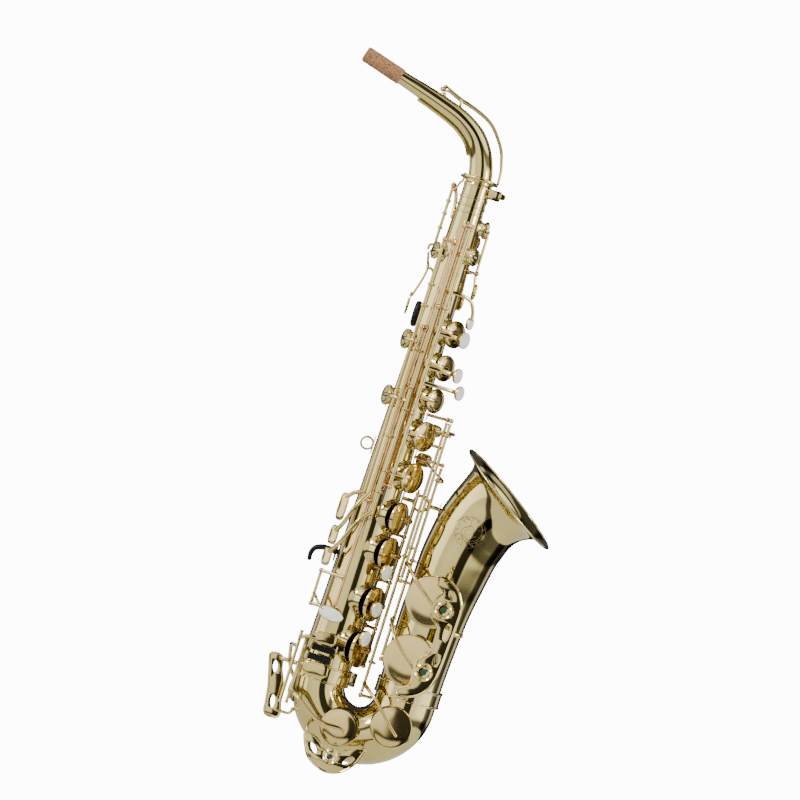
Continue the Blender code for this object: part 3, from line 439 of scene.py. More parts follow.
def pierced(form, cutters):
    """Cuts the cutters from a form's closed mesh and returns the mesh."""
    holder = placed("pierced", form.mesh("pierced"))
    for cutter in cutters:
        step = holder.modifiers.new("hole", "BOOLEAN")
        step.operation = "DIFFERENCE"
        step.solver = "EXACT"
        step.object = cutter
    made = evaluated(holder)
    for old in (holder, *cutters):
        bpy.data.objects.remove(old)
    return made


def shell(rows_outer, rows_inner):
    """Closed tube wall from outer and inner rings in the same order."""
    form = Form()
    form.skin(rows_outer + rows_inner[::-1], loop=True)
    return form


def bent_wall(sections, segments):
    """Tube wall through (x, v, r) sections in the middle plane, each facing along the path."""
    return shell(circle_rows(sections, 0.0, segments), circle_rows(sections, -WALL, segments))


def circle_rows(sections, extra, segments):
    rows = []
    for i, (x, v, r) in enumerate(sections):
        before = sections[max(i - 1, 0)]
        after = sections[min(i + 1, len(sections) - 1)]
        run = Vector((after[0] - before[0], 0.0, before[1] - after[1])).normalized()
        rows.append(ring_row(x, v, run, r + extra, segments))
    return rows


def ring_row(x, v, run, r, segments):
    across = run.cross(Y_AXIS).normalized()
    side = across.cross(run)
    return [point(x, 0, v) + (across * c + side * s) * r * MM for c, s in circle(segments)]


# Tone holes of the body tube, by key: v, phi, cup radius
HOLE = {
    "c_key": (145, UPPER_PHI, 14.0), "b_key": (180, UPPER_PHI, 13.5), "a_key": (214, UPPER_PHI, 12.5),
    "g_key": (251, UPPER_PHI, 15.5), "g_sharp_key": (294, UPPER_PHI, 15.6), "f_sharp_key": (336, LOWER_PHI, 16.5),
    "f_key": (373, LOWER_PHI, 17.5), "e_key": (425, LOWER_PHI, 18.0), "d_key": (471, LOWER_PHI, 19.2),
    "side_e_key": (70, 160, 9.0), "side_c_key": (163, 155, 10.4), "side_bb_key": (222, 155, 10.6),
    "palm_f_key": (36, -8, 9.0), "palm_eb_key": (50, -54, 8.5), "palm_d_key": (64, -100, 8.5),
    "high_f_sharp_key": (66, 38, 9.0),
}


def seat_of(name):
    """Foot, outward direction, cup radius and tube radius of a key's tone hole on the body tube."""
    v, phi, r = HOLE[name]
    return (0.0, 0.0, v), around(phi), r, body_radius(v)


def body_ring(v, wall):
    r = body_radius(v) - wall
    return [point(r * c, r * s, v) for c, s in circle(96)]


def body_tube():
    stations = [BODY_START + (BODY_END - BODY_START) * i / 80 for i in range(81)]
    form = shell(*([body_ring(v, wall) for v in stations] for wall in (0.0, WALL)))
    tree = BVHTree.FromBMesh(form.bm)
    walls = Form()
    cutters = []
    for name in HOLE:
        drawn_hole(walls, cutters, tree, *seat_of(name), 4.0)
    piece_of("body_tube_wall", pierced(form, cutters), ("body_tube",))
    walls.make("body_tone_holes")


def bow_point(angle):
    turn = math.radians(angle)
    share = math.sin(min(turn, math.pi / 2)) * 0.5 + max(0.0, -math.cos(turn)) * 0.5
    return (BOW_CENTRE[0] - BOW_R * math.cos(turn), BOW_CENTRE[1] + BOW_R * math.sin(turn),
            BOW_TUBE_R[0] + (BOW_TUBE_R[1] - BOW_TUBE_R[0]) * share)


# Cups on the bow and bell: x, v and radius
LOW_C_CUP = (32.0, 550.0, 19.0)
LOW_CS_CUP = (80.0, 535.0, 21.0)
LOW_EB_ANGLE = 25.0
LOW_EB_R = 15.0
LOW_B_CUP = (80.0, 466.0, 26.0)
LOW_BB_CUP = (83.0, 404.0, 26.0)
EB_OUT = (-0.62, 0.785)


def bow():
    left, right = BOW_CENTRE[0] - BOW_R, BOW_CENTRE[0] + BOW_R
    sections = [(left, BODY_END + 0.6, BOW_TUBE_R[0]), (left, BODY_END + 6, BOW_TUBE_R[0])]
    sections += [bow_point(angle) for angle in range(0, 181, 3)]
    sections += [(right, BODY_END + 6, BOW_TUBE_R[1]), (right, BODY_END, BOW_TUBE_R[1])]
    form = bent_wall(sections, 96)
    tree = BVHTree.FromBMesh(form.bm)
    walls = Form()
    cutters = []
    eb = bow_point(LOW_EB_ANGLE)
    for base, out, r, tube_r in (
        ((LOW_C_CUP[0], 0, LOW_C_CUP[1]), RIGHT_SIDE, LOW_C_CUP[2], 29.0),
        ((LOW_CS_CUP[0], 0, LOW_CS_CUP[1]), RIGHT_SIDE, LOW_CS_CUP[2], 31.0),
        ((eb[0], 0, eb[1]), EB_OUT, LOW_EB_R, 26.5),
    ):
        drawn_hole(walls, cutters, tree, base, out, r, tube_r, 9.0)
    piece_of("bow_tube_wall", pierced(form, cutters), ("bow",))
    walls.make("bow_tone_holes")


def bell_axis(tilt, turn):
    """The bell's axis, tilted to the front and turned to the player's right, in degrees."""
    return Matrix.Rotation(math.radians(tilt), 3, "Y") @ Matrix.Rotation(math.radians(turn), 3, "X") @ Z_AXIS


def bell_form():
    sections = smoothed(BELL_SECTIONS, 7)
    return shell(*(
        [ring_row(x, v, bell_axis(tilt, turn), r - wall, 120) for x, v, tilt, turn, r in sections]
        for wall in (0.0, WALL)
    ))


def bell():
    form = bell_form()
    tree = BVHTree.FromBMesh(form.bm)
    walls = Form()
    cutters = []
    for (x, v, r), tube_r in ((LOW_B_CUP, 31.6), (LOW_BB_CUP, 34.0)):
        drawn_hole(walls, cutters, tree, (x, 0.0, v), RIGHT_SIDE, r, tube_r, 12.0)
    engraving(tree)
    piece_of("bell_wall", pierced(form, cutters), ("bell",))
    walls.make("bell_tone_holes")
    rim = Form()
    x, v, tilt, turn, r = BELL_SECTIONS[-1]
    bead = [(place, height - 0.2) for place, height in oval(r - 0.1, 1.35, 1.35, 14)]
    rim.turned((x, 0, v), bell_axis(tilt, turn), bead, 160, loop=True)
    rim.make("bell_rim_bead")


def scroll(x, v, size, start, turns, lean):
    """Points of a spiral scroll in the (x, v) plane."""
    spots = []
    for i in range(26):
        t = i / 25
        angle = math.radians(start) + turns * 2 * math.pi * t * lean
        r = size * (1 - 0.86 * t)
        spots.append((x + r * math.cos(angle), v + r * math.sin(angle)))
    return spots


def engraving(tree):
    """Leaf scrolls cut in the bell's right side, as fine lines laid in its surface."""
    lines = [scroll(96, 327, 17, 200, 1.15, 1), scroll(96, 327, 12.5, 20, 1.1, 1), scroll(90, 318, 6, 90, 1.0, -1),
             scroll(103, 336, 6.5, 270, 1.0, -1), scroll(104, 319, 5, 0, 1.0, 1), scroll(88, 335, 5, 180, 1.0, 1)]
    for k in range(16):
        angle = 2 * math.pi * k / 16
        inner = (96 + 12 * math.cos(angle), 327 + 12 * math.sin(angle))
        outer = (96 + 16.5 * math.cos(angle + 0.3), 327 + 16.5 * math.sin(angle + 0.3))
        middle = (96 + 15 * math.cos(angle - 0.1), 327 + 15 * math.sin(angle - 0.1))
        lines.append([inner, middle, outer])
    form = Form()
    for line in lines:
        seated = []
        for x, v in line:
            hit = tree.ray_cast(point(x, -120, v), Y_AXIS)
            if hit[0]:
                seated.append((x, hit[0].y / MM - 0.02, v))
        if len(seated) > 2:
            form.sweep(seated, 0.34, 6, per_span=2, taper=0.18)
    form.make("bell_engraving", finish=ENGRAVED)


def sleeve(form, x, v_from, v_to, r_in, r_out):
    """Ring about a line parallel to the body, with a rolled bead at both edges."""
    height = v_to - v_from
    bead = r_out + 0.5
    form.turned((x, 0, v_to), Z_AXIS, (
        (r_in, 0), (r_out, 0), (bead, 0.5), (bead, 1.6), (r_out, 2.2), (r_out, height - 2.2), (bead, height - 1.6),
        (bead, height - 0.5), (r_out, height), (r_in, height),
    ), 64, loop=True)


def slotted_screw(form, place, r):
    """Screw head facing the player's right, with its driver slot as a shallow well."""
    form.turned(place, TO_RIGHT, (
        (0, -0.5), (r, -0.5), (r, 0.72), (r * 0.8, 1.2), (r * 0.25, 1.2), (r * 0.22, 0.72), (0, 0.72),
    ), 20)


def fittings():
    receiver = Form()
    receiver.turned((0, 0, BODY_START - GAP), Z_AXIS, (
        (12.5, 0), (14.4, 0), (14.4, 1.2), (13.9, 1.8), (13.9, 6.6), (14.6, 7.2), (14.6, 8.4), (13.9, 9.0),
        (13.9, 14.6), (14.8, 15.2), (14.8, 17.0), (13.9, 17.6), (13.9, 27.6), (14.5, 28.2), (14.5, 30.4),
        (14.0, 31.2), (14.0, 32.6), (14.4, 33.0), (14.4, 33.6), (12.5, 33.6),
    ), 72, loop=True)
    for side in (-1, 1):
        receiver.block((11.5, 0.6 * side, -5), (25, 5.6 * side, 5), 0.9)
    receiver.make("receiver_socket", ("neck_receiver",))
    screw = Form()
    screw.turned((20.5, 9, 0), TO_RIGHT, (
        (0, 0), (1.5, 0), (1.5, 15.6), (3.6, 16), (3.7, 18), (3.2, 18.6), (3.7, 19.2), (3.4, 21.4), (0, 22),
    ), 24)
    screw.pillow((25.6, -11.7, 0), X_AXIS, TO_RIGHT, 4.6, 3.2, 0.95, 2.4)
    screw.make("clamp_screw", ("neck_screw",), body="neck_screw")

    band = Form()
    sleeve(band, 0, 497, 514, 26.3, 27.6)
    for side in (1, -1):
        band.block((26.5, 0.7 * side, 497.5), (33.6, 4 * side, 511.5), 0.8)
    for v in (501, 508):
        slotted_screw(band, (30, -4, v), 1.9)
    band.make("body_bow_ring", ("body_bow_band",))
    ring = Form()
    sleeve(ring, BOW_CENTRE[0] + BOW_R, 491, 507, 32.0, 33.4)
    ring.make("bell_bow_ring", ("bell_bow_band",))

    brace = Form()
    brace.turned((42, 6.5, 316), TO_RIGHT, oval(7.7, 1.5, 1.8, 16), 64, loop=True)
    for x_from, x_to in ((23, 35), (49.2, 61.8)):
        brace.sweep(((x_from, 6.5, 316), (x_to, 6.5, 316)), 2.6, 16, flat=0.7)
    brace.pillow((22.6, 6.5, 316), Z_AXIS, X_AXIS, 9, 5, 0.9)
    brace.pillow((61.4, 6.5, 316), Z_AXIS, X_AXIS, 7, 4.6, 0.7)
    brace.make("body_bell_brace", ("bell_brace",))

    ring = Form()
    ring.turned(STRAP_RING, TO_RIGHT, oval(6.1, 1.2, 1.6, 14), 48, loop=True)
    ring.pillow((-21.7, 0, 274), Z_AXIS, X_AXIS, 10, 5, 0.8)
    ring.make("strap_eye", ("strap_ring",))

    back = -body_radius(147) - GAP
    rest = Form()
    rest.pillow((back - 2.6, 2, 136), Z_AXIS, -X_AXIS, 13.5, 10, 4.0, 2.4)
    rest.make("thumb_rest_button", ("thumb_rest",), BLACK, slot="black_plastic")
    base = -body_radius(392) - GAP
    hook = Form()
    hook.sweep(((base - 1, 10, 387.4), (-34, 10, 387), (-40, 10, 387.4), (-46, 10, 390.4), (-48.6, 10, 396),
                (-48.2, 10, 402.4)), 6.0, 24, flat=0.55, up=Z_AXIS, taper=4.2)
    hook.pillow((base - 1.3, 10, 386), Z_AXIS, X_AXIS, 12, 6, 1.2)
    hook.make("thumb_hook_moulding", ("thumb_hook",), BLACK, slot="black_plastic")


def neck():
    sections = smoothed(NECK_SECTIONS, 8)
    tube = bent_wall(sections, 72)
    tube.turned((0, 0, 18), Z_AXIS, ((11.1, 0), (12.1, 0), (12.1, 26.6), (11.1, 26.6)), 60, loop=True)
    tube.turned((0, 0, -8.4), Z_AXIS, (
        (11.4, 0), (13.4, 0), (13.8, 0.5), (13.8, 1.4), (13.2, 2.0), (13.6, 2.6), (13.4, 3.6), (12.5, 4.2), (11.4, 4.2),
    ), 72, loop=True)
    pip = Vector((-0.105, 0, 1))
    tube.turned((-60, 0, -79), pip, ((1.3, 0), (3.1, 0), (3.1, 0.9), (2.6, 1.6), (2.6, 4.4), (1.3, 4.4)), 28, loop=True)
    for y in (-4.6, 4.6):
        ball = ((0, 0), (1.7, 0.2), (2.0, 0.8), (2.0, 1.6), (0, 1.6))
        tube.turned((-41, y * 1.28, -80), Vector((0, -y, 0)), ball, 18)
        tube.sweep(((-41, y * 1.1, -80), (-41, y * 0.95, -73)), 1.5, 12)
    lip = ((5.9, -1), (7.15, -1), (7.3, -0.4), (7.0, 0.1), (6.1, 0.1))
    tube.turned((-147.1, 0, -96.73), Vector((-0.96, 0, 0.279)), lip, 60, loop=True)
    tube.make("neck_tube_wall", ("neck_tube",), body="neck", angle=40)
    cork = Form()
    cork.turned((-105.6, 0, -84.7), Vector((-40.3, 0, 11.7)), (
        (7.3, 0), (7.7, 0), (8.2, 0.5), (8.3, 3), (8.3, 22), (8.3, 40), (8.2, 42), (7.9, 42.4), (7.3, 42.4),
    ), 64, loop=True)
    cork.make("neck_cork_sleeve", ("neck_cork",), CORK, body="neck", slot="cork")
    spine = []
    for i in range(3, 9):
        x, v, r = NECK_SECTIONS[i]
        before, after = NECK_SECTIONS[i - 1], NECK_SECTIONS[i + 1]
        run = Vector((after[0] - before[0], after[1] - before[1])).normalized()
        spine.append((x + run.y * (r + 0.9), 0.0, v - run.x * (r + 0.9)))
    brace = Form()
    brace.sweep(spine, 4.4, 24, flat=0.42, up=Y_AXIS.cross(Vector((-0.8, 0, 0.5))))
    brace.make("neck_under_brace", ("neck_brace",), body="neck")

    key = Form()
    key.turned((-60.6, 0, -84.2), pip, (
        (0, 0.9), (4.4, 0.9), (4.7, 1.2), (4.7, 3.0), (4.0, 3.8), (2.2, 4.6), (0, 4.9),
    ), 32)
    key.sweep(((-61, 0, -89), (-50, 0, -84.4), (-41, 0, -81), (-30, 0, -78), (-15, 0, -72.4), (-5, 0, -66.4),
               (2, 0, -59), (8.5, 0, -50), (12.8, 0, -42), (15.6, 0, -33), (17.8, 0, -24), (18.6, 0, -12)), 2.5, 18,
              flat=0.85, up=Y_AXIS, taper=1.5)
    key.turned((-41, -3.3, -80.4), Y_AXIS, ((0, 0), (2.4, 0), (2.4, 6.6), (0, 6.6)), 24)
    key.turned((0, 0, -10), Z_AXIS, oval(OCTAVE_LOOP_R + 0.2, 0.95, 1.5, 12), 72, loop=True)
    key.make("octave_loop_key", ("neck_octave_key",), KEY_BRASS, body="neck_octave_key", slot="key_brass")
    pad = Form()
    pad.turned((-60.6, 0, -84.2), pip, ((0, 0), (3.9, 0), (4.1, 0.3), (4.1, 1.2), (0, 1.2)), 28)
    pad.make("octave_pip_pad", finish=CORK, body="neck_octave_key", slot="key_brass")


# Keys


def padded_key(base, out, r, tube_r, tube=None):
    """Brass and pad of a key: cup with a stepped dome, leather pad and, where tube gives it, the hinge tube."""
    brass, pad = Form(), Form()
    if tube:
        hinge_tube(brass, *tube)
    axis = world_out(out)
    low = along(base, out, tube_r + CHIMNEY + GAP)
    pad.turned(low, axis, (
        (0, 0.25), (r - 3.2, 0.25), (r - 2.2, 0.0), (r - 1.0, 0.3), (r - 0.7, 1.2), (r - 0.8, 2.0), (0, 2.0),
    ), 48)
    brass.turned(low, axis, (
        (r - 0.9, 0.9), (r - 0.25, 0.9), (r, 1.1), (r, 3.4), (r - 0.35, 4.0), (r - 1.3, 4.3), (r - 2.0, 4.35),
        (r * 0.80, 4.55), (r * 0.72, 5.0), (r * 0.42, 5.35), (r * 0.16, 5.5), (0, 5.5),
    ), 64)
    return brass, pad


def crown_of(base, out, tube_r, extra=0.0):
    return along(base, out, tube_r + CHIMNEY + GAP + CUP_DEPTH - 0.6 + extra)


def hinge_tube(form, line, v_from, v_to, r=HINGE_R):
    """Hinge tube with a shallow collar near each end."""
    length = v_to - v_from
    form.turned((*line, v_to), Z_AXIS, (
        (1.2, 0), (r - 0.15, 0), (r, 0.15), (r, 1.6), (r - 0.35, 1.9), (r - 0.35, length - 1.9), (r, length - 1.6),
        (r, length - 0.15), (r - 0.15, length), (1.2, length),
    ), 28, loop=True)


def lug(form, line, v):
    """Collar and short finger on a hinge tube, where a key's spring or regulating screw bears."""
    collar = ((1.9, -0.2), (2.9, 0.3), (3.0, 0.9), (3.0, 2.1), (2.9, 2.7), (1.9, 3.2))
    form.turned((*line, v), Z_AXIS, collar, 24, ends=(False, False))
    tip = (line[0] + 3.6, line[1] - 3.0, v - 1.6)
    form.sweep(((*line, v - 1.6), tip), 1.3, 12, taper=1.0)
    slotted_screw(form, tip, 1.5)


def pearl(brass, place, facing, r):
    """Adds the brass cup of a pearl facing along the world vector, and returns the pearl disc."""
    disc = Form()
    brass.turned(place, facing, (
        (0, -1.2), (r * 0.5, -1.2), (r * 0.95, -0.6), (r, 0), (r + 0.1, 1.9), (r - 0.45, 2.2), (r - 0.8, 1.5), (0, 1.5),
    ), 44)
    disc.turned(place, facing, (
        (0, 1.5), (r - 0.9, 1.5), (r - 0.7, 2.1), (r * 0.7, 1.95), (r * 0.35, 1.7), (0, 1.6),
    ), 44)
    return disc


def finish_key(name, brass, pad=None, pearls=None, turn=None, about=None):
    brass.make(name + "_work", (name,), KEY_BRASS, name, "key_brass", turn, about)
    if pad:
        pad.make(name + "_pad", (), PAD, name, "key_brass", turn, about)
    if pearls:
        pearls.make(name + "_pearl", (), PEARL, name, "key_brass", turn, about)


def stack_turn(line, base, out, tube_r):
    """Degrees about the hinge line that lift a stack key's cup off its tone hole."""
    centre = along(base, out, tube_r + CHIMNEY)
    return math.copysign(STACK_OPEN, (centre[0] - line[0]) * out[1] - (centre[1] - line[1]) * out[0])


UPPER_SPANS = {"c_key": (125.8, 162.0), "b_key": (162.4, 196.6), "a_key": (197.0, 229.2), "g_key": (234.8, 271.0),
               "g_sharp_key": (271.4, 305.2)}
LOWER_SPANS = {"f_sharp_key": (306.0, 350.0), "f_key": (355.4, 398.0), "e_key": (403.4, 446.0), "d_key": (451.4, 484.7)}
# Finger pearls of each stack key: place, the way it faces (phi) and its radius
PEARLS = {
    "c_key": ((31.0, -16.0, 148), 28, 8.4),
    "b_key": ((35.0, -13.0, 183.5), 25, 7.6),
    "a_key": ((41.5, -10.0, 199.5), 25, 7.4),
    "f_key": ((24.0, -27.0, 391), 46, 8.2),
    "e_key": ((25.5, -28.0, 428.5), 46, 8.2),
    "d_key": ((23.0, -31.0, 459), 46, 8.2),
}


def stack_keys():
    for spans, line in ((UPPER_SPANS, UPPER_LINE), (LOWER_SPANS, LOWER_LINE)):
        for name, span in spans.items():
            base, out, r, tube_r = seat_of(name)
            v = base[2]
            brass, pad = padded_key(base, out, r, tube_r, (line, *span))
            crown = crown_of(base, out, tube_r)
            knee = along(halfway(crown, (*line, v)), out, 3.9)
            brass.sweep((along((*line, v), out, 2.2), knee, along(crown, out, 0.3), along(crown, out, 0.2)), 2.6, 16,
                        flat=0.6, up=world_out(out), taper=1.8)
            discs = None
            if name in PEARLS:
                place, facing, size = PEARLS[name]
                way = world_out(around(facing))
                discs = pearl(brass, place, way, size)
                foot = along(place, around(facing), -1.0)
                start = (*line, place[2])
                brass.sweep((start, along(halfway(start, foot), out, 3), foot), 2.2, 14, flat=0.6, up=way)
            finish_key(name, brass, pad, discs, stack_turn(line, base, out, tube_r), (*line, v))


def top_keys():
    base, out, r, tube_r = seat_of("high_f_sharp_key")
    v = base[2]
    brass, pad = padded_key(base, out, r, tube_r, (UPPER_LINE, 41.4, 88))
    crown = crown_of(base, out, tube_r, 0.4)
    brass.sweep(((*UPPER_LINE, v), (15, -25, v), crown), 2.2, 14, flat=0.6, up=world_out(out))
    finish_key("high_f_sharp_key", brass, pad)
    brass = Form()
    hinge_tube(brass, UPPER_LINE, 88.4, 120.1)
    brass.sweep(((*UPPER_LINE, 106), (18, -27, 106), (28, -22, 109), (33, -19, 118), (34.5, -18, 126)), 2.0, 14,
                flat=0.7, up=Vector((0.7, -0.7, 0)))
    discs = pearl(brass, (33.0, -16.0, 130), Vector((0.86, -0.5, 0)), 6.4)
    finish_key("front_f_key", brass, None, discs)


# Side keys: hinge from and to, lugs, touch from and to, knees on the way to the cup, arm's start and places
SIDE_KEYS = {
    "side_e_key": ((60, 325), (66, 106, 128), (327, 356), ((-20.0, -19.0),), 321, ((-24, -21, 324), (-31, -17, 331))),
    "side_c_key": ((150, 325), (172, 262), (361, 381), ((-14.0, -28.5), (-22.5, -22.5)), 320,
                   ((-20, -29, 338), (-26, -25, 356), (-31, -18, 366))),
    "side_bb_key": ((210, 341), (232, 296, 318), (384, 403), ((-9.0, -31.0), (-19.0, -27.0)), 337,
                    ((-14, -31, 352), (-24, -28, 376), (-31, -18, 388))),
}


def side_keys():
    for line, (name, (span, lugs, (low, high), knees, start, arm)) in zip(SIDE_LINES, SIDE_KEYS.items()):
        base, out, r, tube_r = seat_of(name)
        brass, pad = padded_key(base, out, r, tube_r, (line, *span, 2.2))
        for v in lugs:
            lug(brass, line, v)
        over = [(*spot, base[2]) for spot in (line, *knees)]
        brass.sweep([*over, crown_of(base, out, tube_r, 0.6)], 2.0, 14, flat=0.65, up=world_out(out))
        brass.sweep(((*line, start), *arm), 2.3, 16, flat=0.8, up=TO_RIGHT)
        middle, half = (low + high) / 2, (high - low) / 2
        brass.pillow((-32, -14.5, middle), Z_AXIS, Vector((-0.75, -0.66, 0)), half, 6.6, 1.6, 3.6)
        finish_key(name, brass, pad)


TRILL_SPAN = (411.0, 440.0)


def trill_key():
    brass, discs = Form(), Form()
    hinge_tube(brass, LOW_EB_LINE, *TRILL_SPAN, 2.0)
    brass.sweep(((*LOW_EB_LINE, 432), (-29, -24, 436), (-23, -31, 442), (-16, -31.5, 445)), 1.9, 14, flat=0.8)
    across = Vector((1, 0, -0.14))
    brass.pillow((-11, -31.6, 446), across, TO_RIGHT, 13.6, 7.0, 1.3, 2.0)
    discs.pillow((-11, -32.6, 446), across, TO_RIGHT, 12.6, 6.1, 1.0, 2.0)
    finish_key("trill_f_sharp_key", brass, None, discs)


PALM_HINGE_V = 80.0
PALM_HINGE_LIFT = 10.0
PALM_TOUCH = {"palm_f_key": 98, "palm_eb_key": 112, "palm_d_key": 124}


def palm_keys():
    for name, touch_v in PALM_TOUCH.items():
        base, out, r, tube_r = seat_of(name)
        pivot = along((0, 0, PALM_HINGE_V), out, body_radius(PALM_HINGE_V) + PALM_HINGE_LIFT)
        touch = along((0, 0, touch_v), out, body_radius(touch_v) + 13.0)
        brass, pad = padded_key(base, out, r, tube_r)
        side = Vector((-out[1], out[0], 0))
        barrel = ((1.0, 0), (2.4, 0), (2.4, 7.2), (1.0, 7.2))
        brass.turned(along(pivot, side, -3.6), side, barrel, 24, loop=True)
        brass.sweep((crown_of(base, out, tube_r, 0.4), pivot, touch), 2.3, 16, flat=0.65, up=world_out(out))
        brass.pillow(touch, Z_AXIS, world_out(out), 8.5, 6.0, 2.0, 2.3)
        finish_key(name, brass, pad)


def octave_keys():
    brass = Form()
    hinge_tube(brass, OCTAVE_LINE, 4, 69, 2.0)
    brass.sweep(((*OCTAVE_LINE, 8), (-20, 3, 4), (-17.6, 1, -3), (-15.9, 0.2, -5), (-15.6, 0, -11.5)), 1.2, 12)
    brass.ball((-15.6, 0, -12.2), 1.6)
    for v in (20, 33, 48):
        brass.turned((*OCTAVE_LINE, v), Z_AXIS, ((1.9, 0), (2.8, 0.5), (2.8, 2.6), (1.9, 3.1)), 24, ends=(False, False))
    brass.sweep(((*OCTAVE_LINE, 64), (-28, 6, 66), (-28.5, 4, 70)), 1.5, 12)
    finish_key("octave_rod_key", brass)
    brass = Form()
    brass.turned((-23, 3.4, 88), Y_AXIS, ((0.9, 0), (2.0, 0), (2.0, 5.2), (0.9, 5.2)), 22, loop=True)
    brass.sweep(((-27, 6, 74), (-25, 6, 82), (-23, 6, 88), (-24, 6, 98), (-27, 6, 110), (-30, 6, 120)), 2.0, 14,
                flat=0.7, up=-X_AXIS)
    brass.pillow((-31.2, 6, 128), Z_AXIS, -X_AXIS, 12, 8, 1.5, 2.3)
    finish_key("octave_thumb_lever", brass)


def bell_key(name, line, span, place, tube_r, arm, table_arm, table_v, opening):
    x, v, r = place
    base = (x, 0.0, v)
    brass, pad = padded_key(base, RIGHT_SIDE, r, tube_r, (line, *span, 2.0))
    for lug_v in (span[0] + 14, (span[0] + span[1]) / 2, span[1] - 30):
        lug(brass, line, lug_v)
    crown = crown_of(base, RIGHT_SIDE, tube_r, 0.5)
    tip = (crown[0] + 7, crown[1], crown[2] + 6)
    brass.sweep([*arm, crown, tip], 2.5, 18, flat=0.75, up=TO_RIGHT, taper=1.6)
    brass.sweep(table_arm, 1.9, 14, flat=0.75)
    x, y, _ = table_arm[-1]
    middle, half = sum(table_v) / 2, (table_v[1] - table_v[0]) / 2
    brass.pillow((x - 0.5, y + 0.7, middle), X_AXIS, Y_AXIS, 8.4, half, 1.6, 3.0)
    finish_key(name, brass, pad, None, -opening, (*line, v))


def bell_keys():
    a, b, c = BELL_LINES
    bell_key("low_bb_key", a, (231.0, 391.5), LOW_BB_CUP, 34.0, ((*a, 376), (50, -28, 377), (62, -44, 388)),
             ((*a, 240), (51, -5, 240), (44, 16, 241), (27, 31, 243)), (236, 249), BELL_OPEN)
    bell_key("low_b_key", b, (276.0, 471.4), LOW_B_CUP, 31.6, ((*b, 432), (51, -26, 435), (62, -41, 450)),
             ((*b, 290), (54, 4, 288), (45, 22, 284), (27, 31, 274)), (267, 281), BELL_OPEN)
    bell_key("low_c_sharp_key", c, (231.0, 512.6), LOW_CS_CUP, 31.0, ((*c, 503), (44, -24, 504), (58, -40, 514)),
             ((*c, 257), (45, 5, 257), (39, 20, 257), (27, 31, 258)), (252, 264), 0.0)


def low_keys():
    line = LOW_C_LINE
    x, v, r = LOW_C_CUP
    base = (x, 0.0, v)
    brass, pad = padded_key(base, RIGHT_SIDE, r, 29.0, (line, 476, 544, 2.1))
    crown = crown_of(base, RIGHT_SIDE, 29.0, 0.5)
    tip = (crown[0] + 7, crown[1], crown[2] + 3)
    brass.sweep(((*line, 530), (-16, -36, 534), (10, -41, 549), crown, tip), 2.5, 18, flat=0.8, up=TO_RIGHT, taper=1.7)
    brass.sweep(((*line, 501), (-22, -31, 501), (-16, -33, 501)), 2.1, 14, flat=0.8)
    brass.pillow((-7.5, -34, 502.7), Vector((1, 0, 0.06)), TO_RIGHT, 12.9, 7.4, 1.6, 3.4)
    for place in (-20.5, 5.5):
        brass.pillow((place, -33, 492.5), Z_AXIS, X_AXIS, 5.6, 2.6, 0.9, 3.0)
    finish_key("low_c_key", brass, pad, None, -LOW_C_OPEN, (*line, 510))
    line = LOW_EB_LINE
    eb = bow_point(LOW_EB_ANGLE)
    base = (eb[0], 0.0, eb[1])
    brass, pad = padded_key(base, EB_OUT, LOW_EB_R, 26.5, (line, 471, 546, 2.1))
    crown = crown_of(base, EB_OUT, 26.5, 0.5)
    brass.sweep(((*line, 488), (-38, -2, 488), (-39, 8, 492), (-34, 24, 512), crown), 2.3, 16, flat=0.8)
    brass.sweep(((*line, 480), (-32, -30, 477), (-26, -36, 473), (-18, -36, 472)), 1.9, 14)
    brass.pillow((-9, -36.2, 470.6), Vector((1, 0, 0.05)), TO_RIGHT, 11.8, 6.2, 1.5, 3.6)
    for place in (-20.5, 5.5):
        brass.pillow((place, -35, 479.5), Z_AXIS, X_AXIS, 5.4, 2.6, 0.9, 3.0)
    finish_key("low_eb_key", brass, pad)
    for name, y, v, opening in (("low_c_roller", -33.0, 491.0, LOW_C_OPEN), ("low_eb_roller", -35.0, 481.0, 0.0)):
        roller = Form()
        profile = [(0, 0), (2.2, 0)]
        for i in range(9):
            start = 0.4 + 2.5 * i
            profile += [(3.1, start), (3.55, start + 0.4), (3.55, start + 1.7), (3.1, start + 2.1)]
        profile += [(2.2, 23.0), (0, 23.0)]
        roller.turned((-19.0, y, v), X_AXIS, profile, 28)
        roller.make(name + "_ribbed", (name,), BLACK, name, "black_plastic", -opening, (*LOW_C_LINE, 510))


# Posts, rods and guards


def rib(form, phi, v_from, v_to, width):
    out = around(phi)
    steps = 24
    stations = [v_from + (v_to - v_from) * i / steps for i in range(steps + 1)]
    places = [along((0, 0, v), out, body_radius(v) + 1.1) for v in stations]
    form.sweep(places, width / 2, 12, flat=0.42, up=world_out(out), per_span=1)


def post(form, screws, foot, line, v):
    """Turned post: round foot, waisted stem and drilled ball, with a pivot screw through it."""
    top = point(*line, v)
    low = point(*foot)
    run = (top - low).length / MM
    ball_r = 2.3
    form.turned(foot, top - low, (
        (3.4, -0.8), (3.5, 0.3), (2.6, 0.9), (2.1, 1.6), (1.6, run * 0.5), (1.9, run - ball_r * 0.9), (1.9, run),
    ), 24)
    wide = ball_r * 1.15
    profile = [(wide * math.sin(math.pi * i / 12), -wide * math.cos(math.pi * i / 12)) for i in range(13)]
    form.turned((*line, v), top - low, profile, 24)
    length = 2 * ball_r + 0.2
    screws.turned((*line, v + ball_r + 0.1), Z_AXIS, ((0, 0), (1.1, 0), (1.1, length), (0, length)), 14)


def rib_foot(phi, v):
    return along((0, 0, v), around(phi), body_radius(v) + 1.6)


